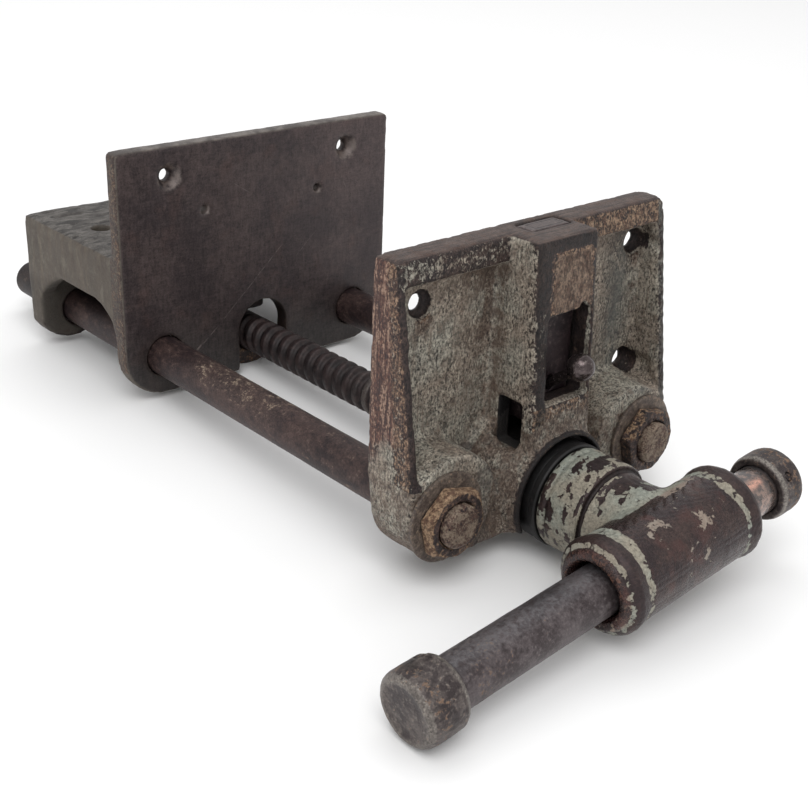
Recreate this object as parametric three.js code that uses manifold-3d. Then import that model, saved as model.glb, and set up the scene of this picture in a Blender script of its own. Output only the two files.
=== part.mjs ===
// Woodworker's quick-acting bench vise, built as separate solids.
//
// Vise frame used below (millimetres): X to the right, Y towards the back,
// Z up, zero at the middle of the rear jaw face's top edge. The last lines
// move everything so that the origin is the centre of the flange's upper
// face, which is the face that is screwed against the underside of a bench.
import * as THREE from 'three';
import { mergeVertices } from 'three/addons/utils/BufferGeometryUtils.js';
import Module from 'manifold-3d';

const wasm = await Module();
wasm.setup();

// ---------------------------------------------------------------- dimensions
const GAP = 0.3;                 // clearance between touching pieces

// rear jaw casting
const REAR_HALF_W = 89;          // half of the 178 mm (7 in) jaw
const PLATE_T = 10;              // jaw plate thickness
const PLATE_BOTTOM = -134.5;
const FLANGE_TOP = -56;          // bench underside meets this face
const FLANGE_T = 11;
const CAST_L = 106.4;            // back face of the rear wall
const REAR_WALL_T = 14;
const SIDE_T = 9;
const REAR_LOBE_R = 21.3;
const REAR_LOBE_X = 70, REAR_LOBE_Z = -108.8;
const SCREW_ARCH_R = 16;
const LAG_HOLES = [[-66, 60], [66, 60], [-28, 84], [28, 84]];
const LAG_HOLE_R = 5.2;
const CHEEK_HOLES = [[-58, -15.5], [58, -15.5]];
const CHEEK_HOLE_R = 3.2;
const CHEEK_SINK_R = 6.8;
const PLATE_SMALL_HOLES = [[-37, -36.2], [38, -36.2]];
const PLATE_SMALL_HOLE_R = 2.4;
const RIB_HALF_W = 9;

// guide rods
const ROD_HALF_SPACING = 64.5;
const ROD_Z = -112.8;
const ROD_R = 10.6;
const ROD_REAR_Y = 155;
const STUD_R = 10.0;
const STUD_FRONT_Y = -231.3;
const ROD_BORE_R = 11.0;
const WASHER_R = 20.8;
const NUT_CORNER_R = 17.3;         // 30 mm across flats
const NUT_FRONT_Y = -228;

// front jaw casting
const FRONT_FACE_Y = -189.7;     // gripping face, jaws open 189.7 mm
const FRONT_HALF_W = 83.5;
const WEB_FRONT_Y = -196;
const RIM_TOP_Y = -204;          // front edge of the rim at the top
const RIM_LEAN = 0.15;           // the rim gets this much thicker per mm down
const RIM_W = 4.6;
const RIM_TOP_H = 11;
const LOBE_X = 58.6, LOBE_Z = -110.8;
const LOBE_R = 24.9;
const BOTTOM_Z = LOBE_Z - LOBE_R;
const PAD_R = 23.6;
const PAD_Y = -219;
const COL_HALF_W = 19;           // central column
const COL_TOP_Y = -219.4;
const COL_LEAN = 0.06;
const SCREW_Z = -117.9;
const BOSS_RIM_R = 28.6;
const BOSS_RIM_Y = -229;
const RECESS_R = 26.6;
const RECESS_Y = -222;
const JAW_BORE_R = 11.2;
const JAW_HOLES = [[-62, -24], [74, -22], [75, -83], [-73.5, -84]];
const JAW_HOLE_R = 3.6;
const JAW_SINK_R = 6.3;

// bench dog and its slot in the column
const DOG_X0 = -8, DOG_X1 = 16;
const DOG_REAR_Y = -195.2, DOG_TOP_Y = -205.7, DOG_FRONT_Y = -212;
const DOG_STEP_Z = -31, DOG_BOTTOM_Z = -88;
const CAVITY_X0 = -10.6, CAVITY_X1 = 16.4;
const CAVITY_REAR_Y = -194.8, CAVITY_FRONT_Y = -212.4;
const CAVITY_TOP_Z = -11, CAVITY_BOTTOM_Z = -97;
const WINDOW_TOP_Z = -34, WINDOW_BOTTOM_Z = -75;
const SIDE_WINDOW = { y0: -217, y1: -203.5, z0: -96, z1: -74 };
const KNOB = { x: 4.5, y: -228.5, z: -58, r: 5.7 };
const KNOB_FOOT = { x: 4.5, y: -211.6, z: -71 };

// screw
const SCREW_R = 10.3;            // over the thread
const SCREW_ROOT_R = 8.2;
const PITCH = 8;
const THREAD_Y0 = -180, THREAD_Y1 = 120;
const SCREW_REAR_Y = 126;
const JOURNAL_R = 9.9;
const SCREW_FRONT_Y = -264;
const THREAD_SEG = 12;

// hub and handle
const HANDLE_Y = -288.5;
const HANDLE_ROT = 5.4;          // degrees, left end low
const COLLAR_R = 24;
const COLLAR_Y0 = -234.5, COLLAR_Y1 = -257;
const BARREL_R = 20.7, BEAD_R = 21.9, LIP_R = 17.6;
const BARREL_LEFT_L = 48, BARREL_RIGHT_L = 42;
const BARREL_RISE = 0.7;         // the bar hangs a little low in its hole
const BAR_R = 11.2;
const BAR_HOLE_R = 12.3;
const BAR_LEFT = -148.4, BAR_RIGHT = 78.2;
const CAP_R = 15.6, CAP_L_LEFT = 19.8, CAP_L_RIGHT = 15.7;

// half nut under the screw
const NUT_Y0 = 12, NUT_Y1 = 61;
const NUT_OUT_R = 20, NUT_IN_R = 10.8;
const PIVOT_X = -33, PIVOT_Z = -108;
const PIVOT_R = 4.7;
const SPRING_X = -45.5, SPRING_Y = 41;

// ------------------------------------------------------------------- helpers
function bare(g) {
  const b = g.clone();
  for (const k of Object.keys(b.attributes)) if (k !== 'position') b.deleteAttribute(k);
  b.clearGroups();
  return mergeVertices(b, 1e-4);
}
function solid(g) {
  const b = bare(g);
  return new wasm.Manifold(new wasm.Mesh({
    numProp: 3,
    vertProperties: new Float32Array(b.attributes.position.array),
    triVerts: new Uint32Array(b.index.array),
  }));
}
function geo(m) {
  const q = m.getMesh();
  const n = q.numProp, cnt = q.vertProperties.length / n;
  const pos = new Float32Array(cnt * 3);
  for (let i = 0; i < cnt; i++) for (let k = 0; k < 3; k++) pos[i * 3 + k] = q.vertProperties[i * n + k];
  const g = new THREE.BufferGeometry();
  g.setAttribute('position', new THREE.BufferAttribute(pos, 3));
  g.setIndex(new THREE.BufferAttribute(new Uint32Array(q.triVerts), 1));
  g.computeVertexNormals();
  return g;
}
const box = (x0, x1, y0, y1, z0, z1) => solid(new THREE.BoxGeometry(x1 - x0, y1 - y0, z1 - z0)
  .translate((x0 + x1) / 2, (y0 + y1) / 2, (z0 + z1) / 2));
// round bar along Y
const rodY = (r, y0, y1, x, z, seg = 32, r0 = r) => solid(new THREE.CylinderGeometry(r, r0, y1 - y0, seg)
  .translate(x, (y0 + y1) / 2, z));
// a profile drawn in X,Z and run along Y
function alongY(pts, y0, y1) {
  const s = new THREE.Shape(pts.map(([x, z]) => new THREE.Vector2(x, z)));
  return solid(new THREE.ExtrudeGeometry(s, { depth: y1 - y0, bevelEnabled: false, steps: 1 })
    .rotateX(Math.PI / 2).translate(0, y1, 0));
}
// a profile drawn in Y,Z and run along X
function alongX(pts, x0, x1) {
  const s = new THREE.Shape(pts.map(([y, z]) => new THREE.Vector2(y, z)));
  const m = new THREE.Matrix4().makeBasis(
    new THREE.Vector3(0, 1, 0), new THREE.Vector3(0, 0, 1), new THREE.Vector3(1, 0, 0));
  return solid(new THREE.ExtrudeGeometry(s, { depth: x1 - x0, bevelEnabled: false, steps: 1 })
    .applyMatrix4(m).translate(x0, 0, 0));
}
// turned shape: [radius, y] points, from the axis back to the axis
const turned = (pts, x, z, seg = 40) => solid(latheGeo(pts, seg).translate(x, 0, z));
function latheGeo(pts, seg) {
  let area = 0;
  for (let i = 0; i < pts.length; i++) {
    const a = pts[i], b = pts[(i + 1) % pts.length];
    area += a[0] * b[1] - b[0] * a[1];
  }
  const p = area > 0 ? pts.slice() : pts.slice().reverse();
  const v = p.map(([r, y]) => new THREE.Vector2(r, y));
  if (p[0][0] > 0) v.push(v[0].clone());
  return new THREE.LatheGeometry(v, seg);
}
const arc = (cx, cz, r, a0, a1, n) => Array.from({ length: n + 1 }, (_, i) => {
  const a = (a0 + (a1 - a0) * i / n) * Math.PI / 180;
  return [cx + r * Math.cos(a), cz + r * Math.sin(a)];
});
const root = new THREE.Group();
const PAINT_GREY = [0x8a8876, 0.62, 0.15];
const MACHINED = [0x4a3f3f, 0.55, 0.6];
const ROD_STEEL = [0x57463f, 0.5, 0.75];
const RUST = [0x8a6b46, 0.75, 0.4];
const STEEL = [0x6a615f, 0.45, 0.8];
const DARK = [0x2e2a2c, 0.5, 0.7];
function piece(name, shape, [color, roughness, metalness]) {
  const g = shape.isBufferGeometry ? shape : geo(shape);
  const mesh = new THREE.Mesh(g, new THREE.MeshStandardMaterial({ color, roughness, metalness }));
  mesh.name = name;
  root.add(mesh);
  return mesh;
}
const L = -ROD_HALF_SPACING, R = ROD_HALF_SPACING;

// -------------------------------------------------------- rear jaw casting
{
  // front plate: square above, round lobes below round each guide rod
  const side = REAR_HALF_W, rr = 25;
  const outline = [
    [-side + 2, 0], [-side, -2], ...arc(-side + rr, PLATE_BOTTOM + rr, rr, 180, 270, 8),
    ...arc(side - rr, PLATE_BOTTOM + rr, rr, 270, 360, 8), [side, -2], [side - 2, 0],
  ];
  let c = alongY(outline, 0, PLATE_T);
  // flange, rear wall, side walls and middle rib
  c = c.add(box(-side, side, PLATE_T - 1, CAST_L, FLANGE_TOP - FLANGE_T, FLANGE_TOP));
  c = c.add(box(-side, side, CAST_L - REAR_WALL_T, CAST_L, -101, FLANGE_TOP));
  const wall = [
    [PLATE_T - 1, FLANGE_TOP], [PLATE_T - 1, -104], [13.3, -92], [17.1, -89], [23.9, -85.3], [30, -84],
    [68, -84], [74, -86.5], [80, -90], [86, -94.5], [92, -100], [96, -104], [99.8, -108.5],
    [CAST_L, -108.5], [CAST_L, FLANGE_TOP],
  ];
  c = c.add(alongX(wall, -side, -side + SIDE_T)).add(alongX(wall, side - SIDE_T, side));
  c = c.add(box(-RIB_HALF_W, RIB_HALF_W, PLATE_T - 1, CAST_L - 1, -104, FLANGE_TOP - 1));
  for (const x of [L, R]) {
    // boss round the rod at the rear wall, joined to the outer wall
    const k = Math.sign(x);
    c = c.add(rodY(REAR_LOBE_R, CAST_L - REAR_WALL_T, CAST_L, k * REAR_LOBE_X, REAR_LOBE_Z, 36)
      .add(box(k > 0 ? 50 : -side, k > 0 ? side : -50, CAST_L - REAR_WALL_T, CAST_L, -109, -95))
      .intersect(box(-side, side, 0, 200, -140, 0)));
  }
  // ears that carry the half nut's pivot pin
  for (const [y0, y1] of [[13, 20], [62, 70]]) {
    c = c.add(box(PIVOT_X - 9, PIVOT_X + 9, y0, y1, PIVOT_Z, FLANGE_TOP - 1));
    c = c.add(rodY(9, y0, y1, PIVOT_X, PIVOT_Z, 28));
  }
  c = c.add(box(PIVOT_X - 9, PIVOT_X + 9, PLATE_T - 1, 13.5, PIVOT_Z, FLANGE_TOP - 1));
  // openings: rod bores, screw arch front and rear, screw holes
  for (const x of [L, R]) c = c.subtract(rodY(ROD_BORE_R, -1, CAST_L + 1, x, ROD_Z, 36));
  c = c.subtract(rodY(SCREW_ARCH_R, -1, PLATE_T + 1.5, 0, -111, 36));
  c = c.subtract(box(-SCREW_ARCH_R, SCREW_ARCH_R, -1, PLATE_T + 1.5, PLATE_BOTTOM - 1, -111));
  c = c.subtract(rodY(14, PLATE_T, CAST_L + 1, 0, SCREW_Z, 36));
  for (const [x, y] of LAG_HOLES) {
    c = c.subtract(solid(new THREE.CylinderGeometry(LAG_HOLE_R, LAG_HOLE_R, 40, 20).rotateX(Math.PI / 2)
      .translate(x, y, FLANGE_TOP)));
  }
  for (const [x, z] of CHEEK_HOLES) {
    c = c.subtract(rodY(CHEEK_HOLE_R, -1, PLATE_T + 1, x, z, 20));
    c = c.subtract(rodY(CHEEK_HOLE_R, -0.01, 4.6, x, z, 20, CHEEK_SINK_R));
  }
  for (const [x, z] of PLATE_SMALL_HOLES) c = c.subtract(rodY(PLATE_SMALL_HOLE_R, -1, PLATE_T + 1, x, z, 12));
  // pivot pin bore and the seat of the spring's guide pin
  c = c.subtract(rodY(PIVOT_R + GAP, 14, 71, PIVOT_X, PIVOT_Z, 20));
  c = c.subtract(solid(new THREE.CylinderGeometry(2.8 + GAP, 2.8 + GAP, 14, 14).rotateX(Math.PI / 2)
    .translate(SPRING_X, SPRING_Y, FLANGE_TOP - FLANGE_T)));
  piece('rear_jaw_casting', c, PAINT_GREY);
}

// --------------------------------------- half nut, its pivot pin and spring
{
  // lower half of the nut, an arm to the pivot, and a tail for the spring
  let n = rodY(NUT_OUT_R, NUT_Y0, NUT_Y1, 0, SCREW_Z, 36)
    .subtract(box(-30, 30, NUT_Y0 - 1, NUT_Y1 + 1, SCREW_Z - GAP, SCREW_Z + 40));
  n = n.add(alongY([[-33, -99.2], [-40, -102.5], [-42, -108], [-38, -115], [-27, -126], [-15, -131],
    [-12, -118.2], [-20, -112], [-25.5, -103]], 21, 61));
  n = n.add(rodY(9, 21, 61, PIVOT_X, PIVOT_Z, 28));
  n = n.add(box(-51, -36, SPRING_Y - 6, SPRING_Y + 6, -112.5, -104.3));
  n = n.subtract(rodY(NUT_IN_R, NUT_Y0 - 1, NUT_Y1 + 1, 0, SCREW_Z, 36));
  n = n.subtract(rodY(PIVOT_R + GAP, 20, 62, PIVOT_X, PIVOT_Z, 20));
  piece('half_nut', n, RUST);
  piece('nut_pivot_pin', turned([[0, 14.4], [PIVOT_R, 14.4], [PIVOT_R, 70.3], [7.2, 70.3], [7.2, 73.5], [0, 73.5]],
    PIVOT_X, PIVOT_Z, 20), STEEL);
  // compression spring that holds the half nut up against the screw
  class Coil extends THREE.Curve {
    getPoint(t, o = new THREE.Vector3()) {
      const a = t * Math.PI * 2 * 6;
      return o.set(SPRING_X + 4.6 * Math.cos(a), SPRING_Y + 4.6 * Math.sin(a), -102.2 + t * 33.4);
    }
  }
  const wire = new THREE.Shape(Array.from({ length: 6 }, (_, i) =>
    new THREE.Vector2(0.95 * Math.cos(i * Math.PI / 3), 0.95 * Math.sin(i * Math.PI / 3))));
  piece('nut_lift_spring', geo(solid(new THREE.ExtrudeGeometry(wire, { steps: 60, extrudePath: new Coil() }))), DARK);
  piece('spring_guide_pin', solid(new THREE.CylinderGeometry(2.8, 2.8, 22, 14).rotateX(Math.PI / 2)
    .translate(SPRING_X, SPRING_Y, -73.5 - 0.8)), STEEL);
}

// ------------------------------------------------------- front jaw casting
{
  const w = FRONT_HALF_W;
  // outline of the jaw seen from the front, shrunk by e for the rounded back edge
  const outline = (e) => [
    [-w + 1.5, 0], [-w, -1.5], [-w, -96], ...arc(-LOBE_X, LOBE_Z, LOBE_R - e, 180, 262, 10), [-44, BOTTOM_Z + 0.9 + e],
    [44, BOTTOM_Z + 0.9 + e], ...arc(LOBE_X, LOBE_Z, LOBE_R - e, 278, 360, 10), [w, -96], [w, -1.5], [w - 1.5, 0],
  ];
  let c = alongY(outline(0), WEB_FRONT_Y, FRONT_FACE_Y - 3).add(alongY(outline(2.2), FRONT_FACE_Y - 3.5, FRONT_FACE_Y));
  // rim: top band and two tapered sides
  c = c.add(alongX([[FRONT_FACE_Y, 0], [RIM_TOP_Y + 0.8, 0], [RIM_TOP_Y, -0.8], [RIM_TOP_Y - RIM_LEAN * RIM_TOP_H, -RIM_TOP_H],
    [WEB_FRONT_Y, -RIM_TOP_H - 3], [FRONT_FACE_Y, -RIM_TOP_H - 3]], -w + 1.5, w - 1.5));
  const rim = [[FRONT_FACE_Y, -1.5], [RIM_TOP_Y, -1.5], [PAD_Y, -100], [PAD_Y, -112], [FRONT_FACE_Y - 3.4, -112]];
  let low = alongX(rim, -w, -w + RIM_W).add(alongX(rim, w - RIM_W, w));
  // thick bottom: a lobe and a flat pad round each rod, joined to the screw boss
  for (const s of [-1, 1]) {
    low = low.add(rodY(LOBE_R, PAD_Y, FRONT_FACE_Y - 3, s * LOBE_X, LOBE_Z, 40));
    low = low.add(rodY(PAD_R + 6, PAD_Y, FRONT_FACE_Y - 3.2, s * ROD_HALF_SPACING, ROD_Z, 36, PAD_R));
  }
  low = low.add(alongX([[FRONT_FACE_Y - 3.3, -104], [-199, -104], [-212, -121], [-219.5, -131], [-219.5, BOTTOM_Z - 1],
    [FRONT_FACE_Y - 3.3, BOTTOM_Z - 1]], -50, 50));
  c = c.add(low.intersect(alongY(outline(0), -240, FRONT_FACE_Y - 0.5)));
  // column with its lean, and the round boss that carries the screw, cut
  // off level with the bottom of the jaw
  c = c.add(alongX([[FRONT_FACE_Y, 0], [COL_TOP_Y, 0], [COL_TOP_Y - COL_LEAN * 118, -118],
    [FRONT_FACE_Y, -118]], -COL_HALF_W, COL_HALF_W));
  c = c.add(turned([[0, FRONT_FACE_Y - 3.1], [37, FRONT_FACE_Y - 3.1], [36, -207], [33.2, -213], [30.4, -221.5],
    [BOSS_RIM_R, BOSS_RIM_Y], [0, BOSS_RIM_Y]], 0, SCREW_Z, 44)
    .intersect(alongX([[-240, -60], [-240, -131.2], [BOSS_RIM_Y, -131.2], [PAD_Y, BOTTOM_Z + 0.9], [-180, BOTTOM_Z + 0.9],
      [-180, -60]], -60, 60)));
  // dog slot, front window, side window
  c = c.subtract(box(CAVITY_X0, CAVITY_X1, CAVITY_FRONT_Y, CAVITY_REAR_Y, CAVITY_BOTTOM_Z, CAVITY_TOP_Z));
  c = c.subtract(box(DOG_X0 - GAP, DOG_X1 + GAP, DOG_TOP_Y - GAP, DOG_REAR_Y + GAP, CAVITY_TOP_Z - 1, 2));
  c = c.subtract(box(CAVITY_X0, CAVITY_X1, -232, CAVITY_FRONT_Y + 1, WINDOW_BOTTOM_Z, WINDOW_TOP_Z));
  c = c.subtract(rodY(2.4, -230, CAVITY_FRONT_Y + 1, 11.5, WINDOW_TOP_Z, 16));
  c = c.subtract(box(-COL_HALF_W - 2, CAVITY_X0 + 1, SIDE_WINDOW.y0, SIDE_WINDOW.y1, SIDE_WINDOW.z0, SIDE_WINDOW.z1));
  // the side window's front corner runs on inside to meet the slot
  c = c.subtract(box(-14, CAVITY_X0 + 4, SIDE_WINDOW.y0, CAVITY_FRONT_Y + 1, SIDE_WINDOW.z0, SIDE_WINDOW.z1));
  // recess and bore for the screw, rod bores, screw holes
  c = c.subtract(rodY(RECESS_R, BOSS_RIM_Y - 1, RECESS_Y, 0, SCREW_Z, 44));
  c = c.subtract(rodY(JAW_BORE_R, BOSS_RIM_Y - 1, FRONT_FACE_Y + 1, 0, SCREW_Z, 32));
  for (const x of [L, R]) c = c.subtract(rodY(STUD_R + GAP, -240, FRONT_FACE_Y + 1, x, ROD_Z, 28));
  for (const [x, z] of JAW_HOLES) {
    c = c.subtract(rodY(JAW_HOLE_R, WEB_FRONT_Y - 2, FRONT_FACE_Y + 1, x, z, 20));
    c = c.subtract(rodY(JAW_SINK_R, WEB_FRONT_Y - 0.01, WEB_FRONT_Y + 3, x, z, 20)
      .add(rodY(JAW_SINK_R, WEB_FRONT_Y - 14, WEB_FRONT_Y, x, z, 20))
      .intersect(box(-w + 1.2, w - 1.2, -240, -180, -200, -RIM_TOP_H - 1)));
  }
  piece('front_jaw_casting', c, PAINT_GREY);
}

// -------------------------------------------- guide rods, washers and nuts
for (const [x, name] of [[L, 'left'], [R, 'right']]) {
  // shoulder behind the jaw, turned-down stud through it
  piece('guide_rod_' + name, turned([[0, STUD_FRONT_Y], [STUD_R - 1.2, STUD_FRONT_Y], [STUD_R, STUD_FRONT_Y + 1.4],
    [STUD_R, FRONT_FACE_Y + GAP], [ROD_R, FRONT_FACE_Y + GAP], [ROD_R, ROD_REAR_Y - 1.5], [ROD_R - 1.5, ROD_REAR_Y],
    [0, ROD_REAR_Y]], x, ROD_Z, 32), ROD_STEEL);
  piece('rod_washer_' + name, turned([[STUD_R + 1.1, PAD_Y - 0.3], [WASHER_R, PAD_Y - 0.3], [WASHER_R, PAD_Y - 2.2],
    [STUD_R + 1.1, PAD_Y - 2.2]], x, ROD_Z + 0.7, 36), STEEL);
  // hexagon nut, chamfered in front, countersunk round the stud
  const y0 = PAD_Y - 2.5, y1 = NUT_FRONT_Y, hexR = NUT_CORNER_R;
  const a0 = x < 0 ? 43 : 45;
  let n = alongY(Array.from({ length: 6 }, (_, i) => {
    const a = (a0 + i * 60) * Math.PI / 180;
    return [x + hexR * Math.cos(a), ROD_Z + hexR * Math.sin(a)];
  }), y1, y0);
  n = n.intersect(turned([[0, y1], [14.6, y1], [hexR + 0.3, y1 + 1.9], [hexR + 0.3, y0 + 0.1], [0, y0 + 0.1]], x, ROD_Z, 36));
  n = n.subtract(rodY(STUD_R + GAP, y1 - 1, y0 + 1, x, ROD_Z, 28));
  n = n.subtract(rodY(STUD_R + GAP, y1 - 0.01, y1 + 1.2, x, ROD_Z, 28, 11.3));
  piece('rod_nut_' + name, n, RUST);
}

// ----------------------------------------------------- bench dog and knob
{
  const foot = new THREE.Vector3(KNOB_FOOT.x, KNOB_FOOT.y, KNOB_FOOT.z);
  const ball = new THREE.Vector3(KNOB.x, KNOB.y, KNOB.z);
  const dir = ball.clone().sub(foot).normalize();
  const quat = new THREE.Quaternion().setFromUnitVectors(new THREE.Vector3(0, 1, 0), dir);
  const stick = (r, a, b, seg) => {
    const len = a.distanceTo(b);
    return solid(new THREE.CylinderGeometry(r, r, len, seg).applyQuaternion(quat)
      .translate((a.x + b.x) / 2, (a.y + b.y) / 2, (a.z + b.z) / 2));
  };
  const inside = foot.clone().addScaledVector(dir, -8);
  let d = alongX([[DOG_REAR_Y, -0.2], [DOG_TOP_Y, -0.2], [DOG_TOP_Y, DOG_STEP_Z], [DOG_FRONT_Y, DOG_STEP_Z],
    [DOG_FRONT_Y, DOG_BOTTOM_Z + 2], [DOG_FRONT_Y + 2, DOG_BOTTOM_Z], [DOG_REAR_Y, DOG_BOTTOM_Z]], DOG_X0, DOG_X1);
  d = d.subtract(stick(2.4 + GAP, inside, foot.clone().addScaledVector(dir, 6), 16));
  piece('bench_dog', d, DARK);
  const k = solid(new THREE.SphereGeometry(KNOB.r, 20, 12).translate(ball.x, ball.y, ball.z))
    .add(stick(2.4, inside.clone().addScaledVector(dir, 0.4), ball, 16));
  piece('dog_knob', k, STEEL);
  // bowed leaf spring that keeps the dog where it is put
  const bow = [];
  const n = 8;
  for (let i = 0; i <= n; i++) {
    const t = i / n;
    bow.push([CAVITY_X0 + GAP + 1.1 * Math.sin(Math.PI * t), -32 - 40 * t]);
  }
  const back = bow.map(([x, z]) => [x + 0.7, z]).reverse();
  piece('dog_leaf_spring', alongY([...bow, ...back], -208, -199), STEEL);
}

// ------------------------------------------- screw, thrust rings and collar
{
  // trapezoid thread: a strip of profile points wound along the helix, each
  // turn joined to the next, with the crest fading out at both ends
  const profile = [[0.10, SCREW_ROOT_R], [0.30, SCREW_R], [0.62, SCREW_R], [0.82, SCREW_ROOT_R]];
  const K = profile.length;
  const steps = Math.round((THREAD_Y1 - THREAD_Y0) / PITCH - 1) * THREAD_SEG;
  const verts = [], tris = [];
  for (let i = 0; i <= steps + THREAD_SEG; i++) {
    const a = -i / THREAD_SEG * Math.PI * 2;
    const fade = Math.min(1, i / (THREAD_SEG * 0.5), Math.max(0, (steps - i) / (THREAD_SEG * 0.5)));
    const n = i <= steps ? K : 1;
    for (let j = 0; j < n; j++) {
      const r = SCREW_ROOT_R + (profile[j][1] - SCREW_ROOT_R) * fade;
      verts.push(r * Math.cos(a), THREAD_Y0 + (i / THREAD_SEG + profile[j][0]) * PITCH, SCREW_Z + r * Math.sin(a));
    }
  }
  const id = (i, j) => (j === K ? id(i + THREAD_SEG, 0)
    : i <= steps ? i * K + j : (steps + 1) * K + (i - steps - 1));
  for (let i = 0; i < steps; i++) for (let j = 0; j < K; j++) {
    const p = id(i, j), q = id(i + 1, j), t = id(i + 1, j + 1), u = id(i, j + 1);
    tris.push(p, q, t, p, t, u);
  }
  for (const end of [0, 1]) {
    const i0 = end ? steps : 0;
    const loop = [];
    for (let i = 0; i < THREAD_SEG; i++) loop.push(id(i0 + i, 0));
    for (let j = K; j > 0; j--) loop.push(id(i0, j));
    const hub = verts.length / 3;
    verts.push(0, THREAD_Y0 + (i0 / THREAD_SEG + 0.5) * PITCH, SCREW_Z);
    for (let i = 0; i < loop.length; i++) {
      const p = loop[i], q = loop[(i + 1) % loop.length];
      if (end) tris.push(hub, p, q); else tris.push(hub, q, p);
    }
  }
  let m = null;
  for (const flip of [false, true]) {
    const idx = tris.slice();
    if (flip) for (let i = 0; i < idx.length; i += 3) [idx[i + 1], idx[i + 2]] = [idx[i + 2], idx[i + 1]];
    const tg = new THREE.BufferGeometry();
    tg.setAttribute('position', new THREE.BufferAttribute(new Float32Array(verts), 3));
    tg.setIndex(idx);
    m = solid(tg);
    if (m.volume() > 0) break;
  }
  // plain core that carries the thread through to both ends
  m = m.add(rodY(SCREW_ROOT_R - 0.05, THREAD_Y0 - 1, THREAD_Y1, 0, SCREW_Z, THREAD_SEG));
  m = m.add(rodY(JOURNAL_R, SCREW_FRONT_Y, THREAD_Y0 + 1, 0, SCREW_Z, 28));
  m = m.add(turned([[0, THREAD_Y1 - 1], [SCREW_ROOT_R - 0.4, THREAD_Y1 - 1], [SCREW_ROOT_R - 0.4, SCREW_REAR_Y - 1.5],
    [SCREW_ROOT_R - 2, SCREW_REAR_Y], [0, SCREW_REAR_Y]], 0, SCREW_Z, 24));
  // cross hole for the hub pin
  const pinDir = new THREE.Vector3(0.57, 0, 0.82).normalize();
  const pq = new THREE.Quaternion().setFromUnitVectors(new THREE.Vector3(0, 1, 0), pinDir);
  const pin = (r, len) => new THREE.CylinderGeometry(r, r, len, 16).applyQuaternion(pq).translate(0, -247, SCREW_Z);
  m = m.subtract(solid(pin(3 + GAP, 80)));
  m = m.subtract(solid(new THREE.CylinderGeometry(2.2, 2.2, 7, 12).rotateX(Math.PI / 2).translate(0, -185.6, SCREW_Z + 9.5)));
  piece('main_screw', m, DARK);

  piece('thrust_bush', turned([[11.3, RECESS_Y - GAP], [24, RECESS_Y - GAP], [24, -230.2], [11.3, -230.2]],
    0, SCREW_Z, 40), DARK);
  piece('thrust_washer', turned([[10.3, -230.5], [24.6, -230.5], [24.6, -233.4], [24, -234.2], [10.3, -234.2]],
    0, SCREW_Z, 40), DARK);
  let rc = turned([[JOURNAL_R + GAP, FRONT_FACE_Y + 0.3], [14.5, FRONT_FACE_Y + 0.3], [14.5, -182.6], [13.7, -181.8],
    [JOURNAL_R + GAP, -181.8]], 0, SCREW_Z, 32);
  rc = rc.subtract(solid(new THREE.CylinderGeometry(2.2, 2.2, 12, 12).rotateX(Math.PI / 2).translate(0, -185.6, SCREW_Z + 12)));
  piece('retaining_collar', rc, STEEL);
  piece('collar_set_screw', solid(new THREE.CylinderGeometry(1.9, 1.9, 7.2, 12).rotateX(Math.PI / 2)
    .translate(0, -185.6, SCREW_Z + 10.3)), STEEL);

  // hub: collar, neck and cross barrel for the handle
  let h = turned([[0, COLLAR_Y0], [COLLAR_R - 1, COLLAR_Y0], [COLLAR_R, COLLAR_Y0 - 1], [COLLAR_R, -238.4], [23, -239.2],
    [COLLAR_R, -240], [COLLAR_R, COLLAR_Y1 + 0.8], [23.2, COLLAR_Y1], [21.6, COLLAR_Y1 - 0.3], [20.9, -258.8], [20.5, -262],
    [20.4, -268], [20.7, -273], [20.4, -279], [17, HANDLE_Y], [0, HANDLE_Y]], 0, SCREW_Z, 32);
  const b = BARREL_LEFT_L, e = BARREL_RIGHT_L;
  const barrel = latheGeo([[0, -b], [LIP_R - 1, -b], [LIP_R, -b + 1], [LIP_R + 0.6, -b + 2.6], [BEAD_R - 1.2, -b + 4],
    [BEAD_R, -b + 6.4], [BEAD_R - 0.8, -b + 10.4], [BARREL_R - 0.2, -b + 12], [BARREL_R, -b + 14],
    [BARREL_R, e - 14], [BARREL_R - 0.2, e - 12], [BEAD_R - 0.8, e - 10.4], [BEAD_R, e - 6.4],
    [BEAD_R - 1.2, e - 4], [LIP_R + 0.6, e - 2.6], [LIP_R, e - 1], [LIP_R - 1, e], [0, e]], 32);
  const place = (g) => g.rotateZ(-Math.PI / 2).rotateY(-HANDLE_ROT * Math.PI / 180).translate(0, HANDLE_Y, SCREW_Z);
  const lift = (g) => place(g).translate(0, 0, BARREL_RISE);
  h = h.add(solid(lift(barrel)));
  h = h.subtract(solid(lift(new THREE.CylinderGeometry(BAR_HOLE_R, BAR_HOLE_R, 120, 32))));
  for (const s of [-1, 1]) {
    h = h.subtract(solid(lift(new THREE.CylinderGeometry(s > 0 ? 14.2 : BAR_HOLE_R, s > 0 ? BAR_HOLE_R : 14.2, 3.2, 32)
      .translate(0, s < 0 ? 1.55 - b : e - 1.55, 0))));
  }
  h = h.subtract(rodY(JOURNAL_R + GAP, SCREW_FRONT_Y - GAP, COLLAR_Y0 + 1, 0, SCREW_Z, 28));
  h = h.subtract(solid(pin(3 + GAP, 80)));
  piece('handle_hub', h, PAINT_GREY);
  piece('hub_pin', solid(pin(3, 46.5)), STEEL);

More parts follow.
